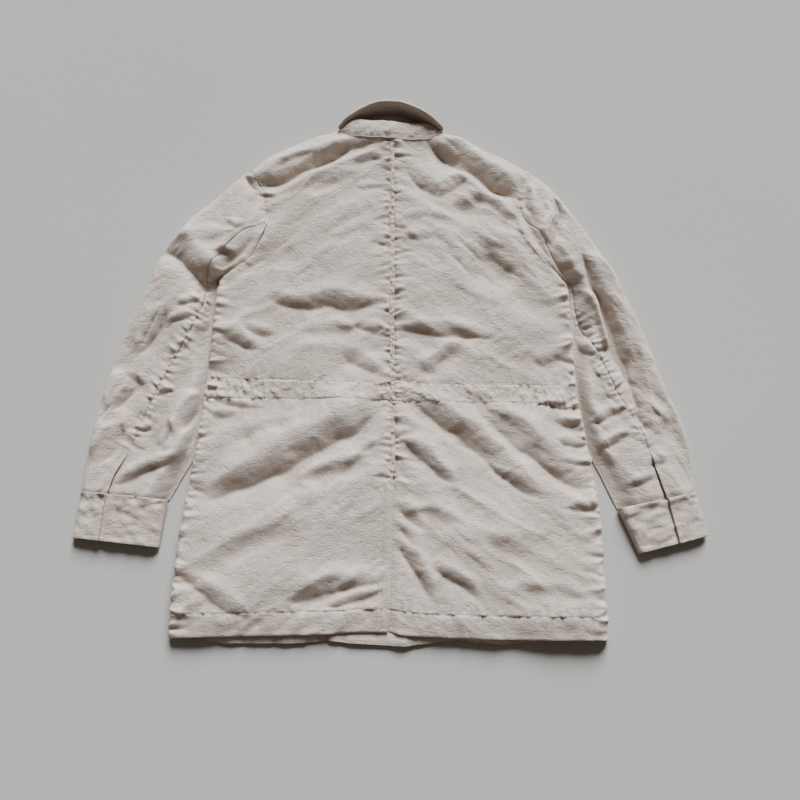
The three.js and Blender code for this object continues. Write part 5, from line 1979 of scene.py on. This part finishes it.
@dataclass
class Studio:
    """Pale floor, soft light from beyond the collar, and the camera."""

    camera_place: tuple[float, float, float] = (0.015, -0.2765, 1.2507)
    aim: tuple[float, float, float] = (0.015, -0.056, 0.0)
    focal_length: float = 36.09
    key_elevation: float = 31.0
    key_turn: float = 11.0               # degrees that it stands to the right of the collar
    key_strength: float = 8.3
    key_softness: float = 30.0           # degrees that the light covers
    fill_strength: float = 0.14

    def floor(self) -> None:
        """Makes the floor."""
        mesh = bpy.data.meshes.new("studio_floor")
        half = 4.0
        corners = [(-half, -half, 0), (half, -half, 0), (half, half, 0), (-half, half, 0)]
        mesh.from_pydata(corners, [], [(0, 1, 2, 3)])
        mesh.materials.append(StudioFloor().material())
        plane = bpy.data.objects.new("studio_floor", mesh)
        bpy.context.scene.collection.objects.link(plane)
        plane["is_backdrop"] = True

    def lights(self) -> None:
        """Makes the key light and the even light of the room."""
        sun = bpy.data.lights.new("key_light", "SUN")
        sun.energy = self.key_strength
        sun.angle = math.radians(self.key_softness)
        sun.color = (0.96, 0.985, 1.0)
        lamp = bpy.data.objects.new("key_light", sun)
        lamp.rotation_euler = (-math.radians(90 - self.key_elevation), 0, -math.radians(self.key_turn))
        bpy.context.scene.collection.objects.link(lamp)
        world = bpy.data.worlds.new("studio_room")
        world.use_nodes = True
        room = world.node_tree.nodes["Background"]
        room.inputs["Color"].default_value = (1.0, 0.84, 0.70, 1.0)
        room.inputs["Strength"].default_value = self.fill_strength
        bpy.context.scene.world = world

    def camera(self) -> None:
        """Makes the camera at the photo's angle."""
        lens = bpy.data.cameras.new("camera")
        lens.lens = self.focal_length
        lens.sensor_width = 36.0
        eye = bpy.data.objects.new("camera", lens)
        eye.location = self.camera_place
        look = Vector(self.aim) - Vector(self.camera_place)
        eye.rotation_euler = look.to_track_quat("-Z", "Y").to_euler()
        bpy.context.scene.collection.objects.link(eye)
        bpy.context.scene.camera = eye


def sew(cloth: dict[str, bpy.types.Object]) -> None:
    """Lays all the stitching.

    Args:
        cloth: Pieces of cloth by name.
    """
    sewing = Sewing(Thread().material())
    backs = [cloth["back_left_cloth"], cloth["back_right_cloth"]]
    casings = [cloth["waist_casing_left_cloth"], cloth["waist_casing_right_cloth"]]
    centre = [beside(CENTRE_SEAM, sign * sewing.in_centre) for sign in (-1, 1)]
    sewing.lay("centre_seam_stitches", centre, backs + casings)
    casing = [beside(CASING_TOP, -sewing.in_casing), beside(CASING_FOOT, sewing.in_casing)]
    sewing.lay("casing_stitches", casing, backs + casings)
    sewing.lay("hem_stitches", [beside(HEM_LINE, 0.0)], backs)
    vent = [beside(VENT_STAY, 0.0), beside(VENT_EDGE, -sewing.in_vent)]
    sewing.lay("vent_stitches", vent, backs)
    for side in Side:
        word = side.word
        sleeve = [cloth[f"sleeve_{word}_upper_cloth"], cloth[f"sleeve_{word}_under_cloth"]]
        armhole = beside(ARMHOLES[side], -sewing.in_armhole * side.value)
        sewing.lay(f"armhole_{word}_stitches", [armhole], backs)
        seam = beside(SLEEVE_SEAMS[side], sewing.in_sleeve * side.value)
        sewing.lay(f"sleeve_{word}_stitches", [seam], sleeve)
        cuff = CUFF_ROWS[side]
        edges = []
        for row, inset in ((cuff[0], -sewing.in_cuff), (cuff[-1], sewing.in_cuff)):
            a, b = np.array(row[:2]), np.array(row[2:4])
            ends = [between(a, b, 0.06), between(a, b, 0.94)]
            edges.append(np.array(ends) + np.array([0, inset]))
        sewing.lay(f"cuff_{word}_stitches", edges, [cloth[f"cuff_{word}_cloth"]])
    x = np.arange(-76.0, 77.0, 4.0)
    collar = [np.stack([x, COLLAR_SEAM_Y + inset + sewing.collar_rise * x * x], axis=1)
              for inset in sewing.in_collar]
    sewing.lay("collar_stitches", collar, [cloth["collar_back_cloth"]])


def main() -> None:
    """Builds the parka and its studio."""
    logging.basicConfig(level=logging.INFO, format="%(message)s")
    finish = ShellCloth().material()
    pieces = [*Fronts(finish).build(), *Back(finish).build(), *WaistCasing(finish).build()]
    for side in Side:
        pieces += Sleeve(side, finish).build()
        pieces.append(Cuff(side, finish).build())
    pieces += [CollarBand(finish).build(), CollarArch(finish).build()]
    sew({piece.name: piece for piece in pieces})
    studio = Studio()
    studio.floor()
    studio.lights()
    studio.camera()
    log.info("%d pieces of cloth", len(pieces))


def plain(box: Sequence[Sequence[float]]) -> list[list[float]]:
    """A box as plain lists of numbers."""
    return [[float(value) for value in corner] for corner in box]


if __name__ == "__main__":
    main()
    bpy.context.view_layer.update()
    {"cad": plain(CAD_BOX), "visual": plain(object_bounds())}
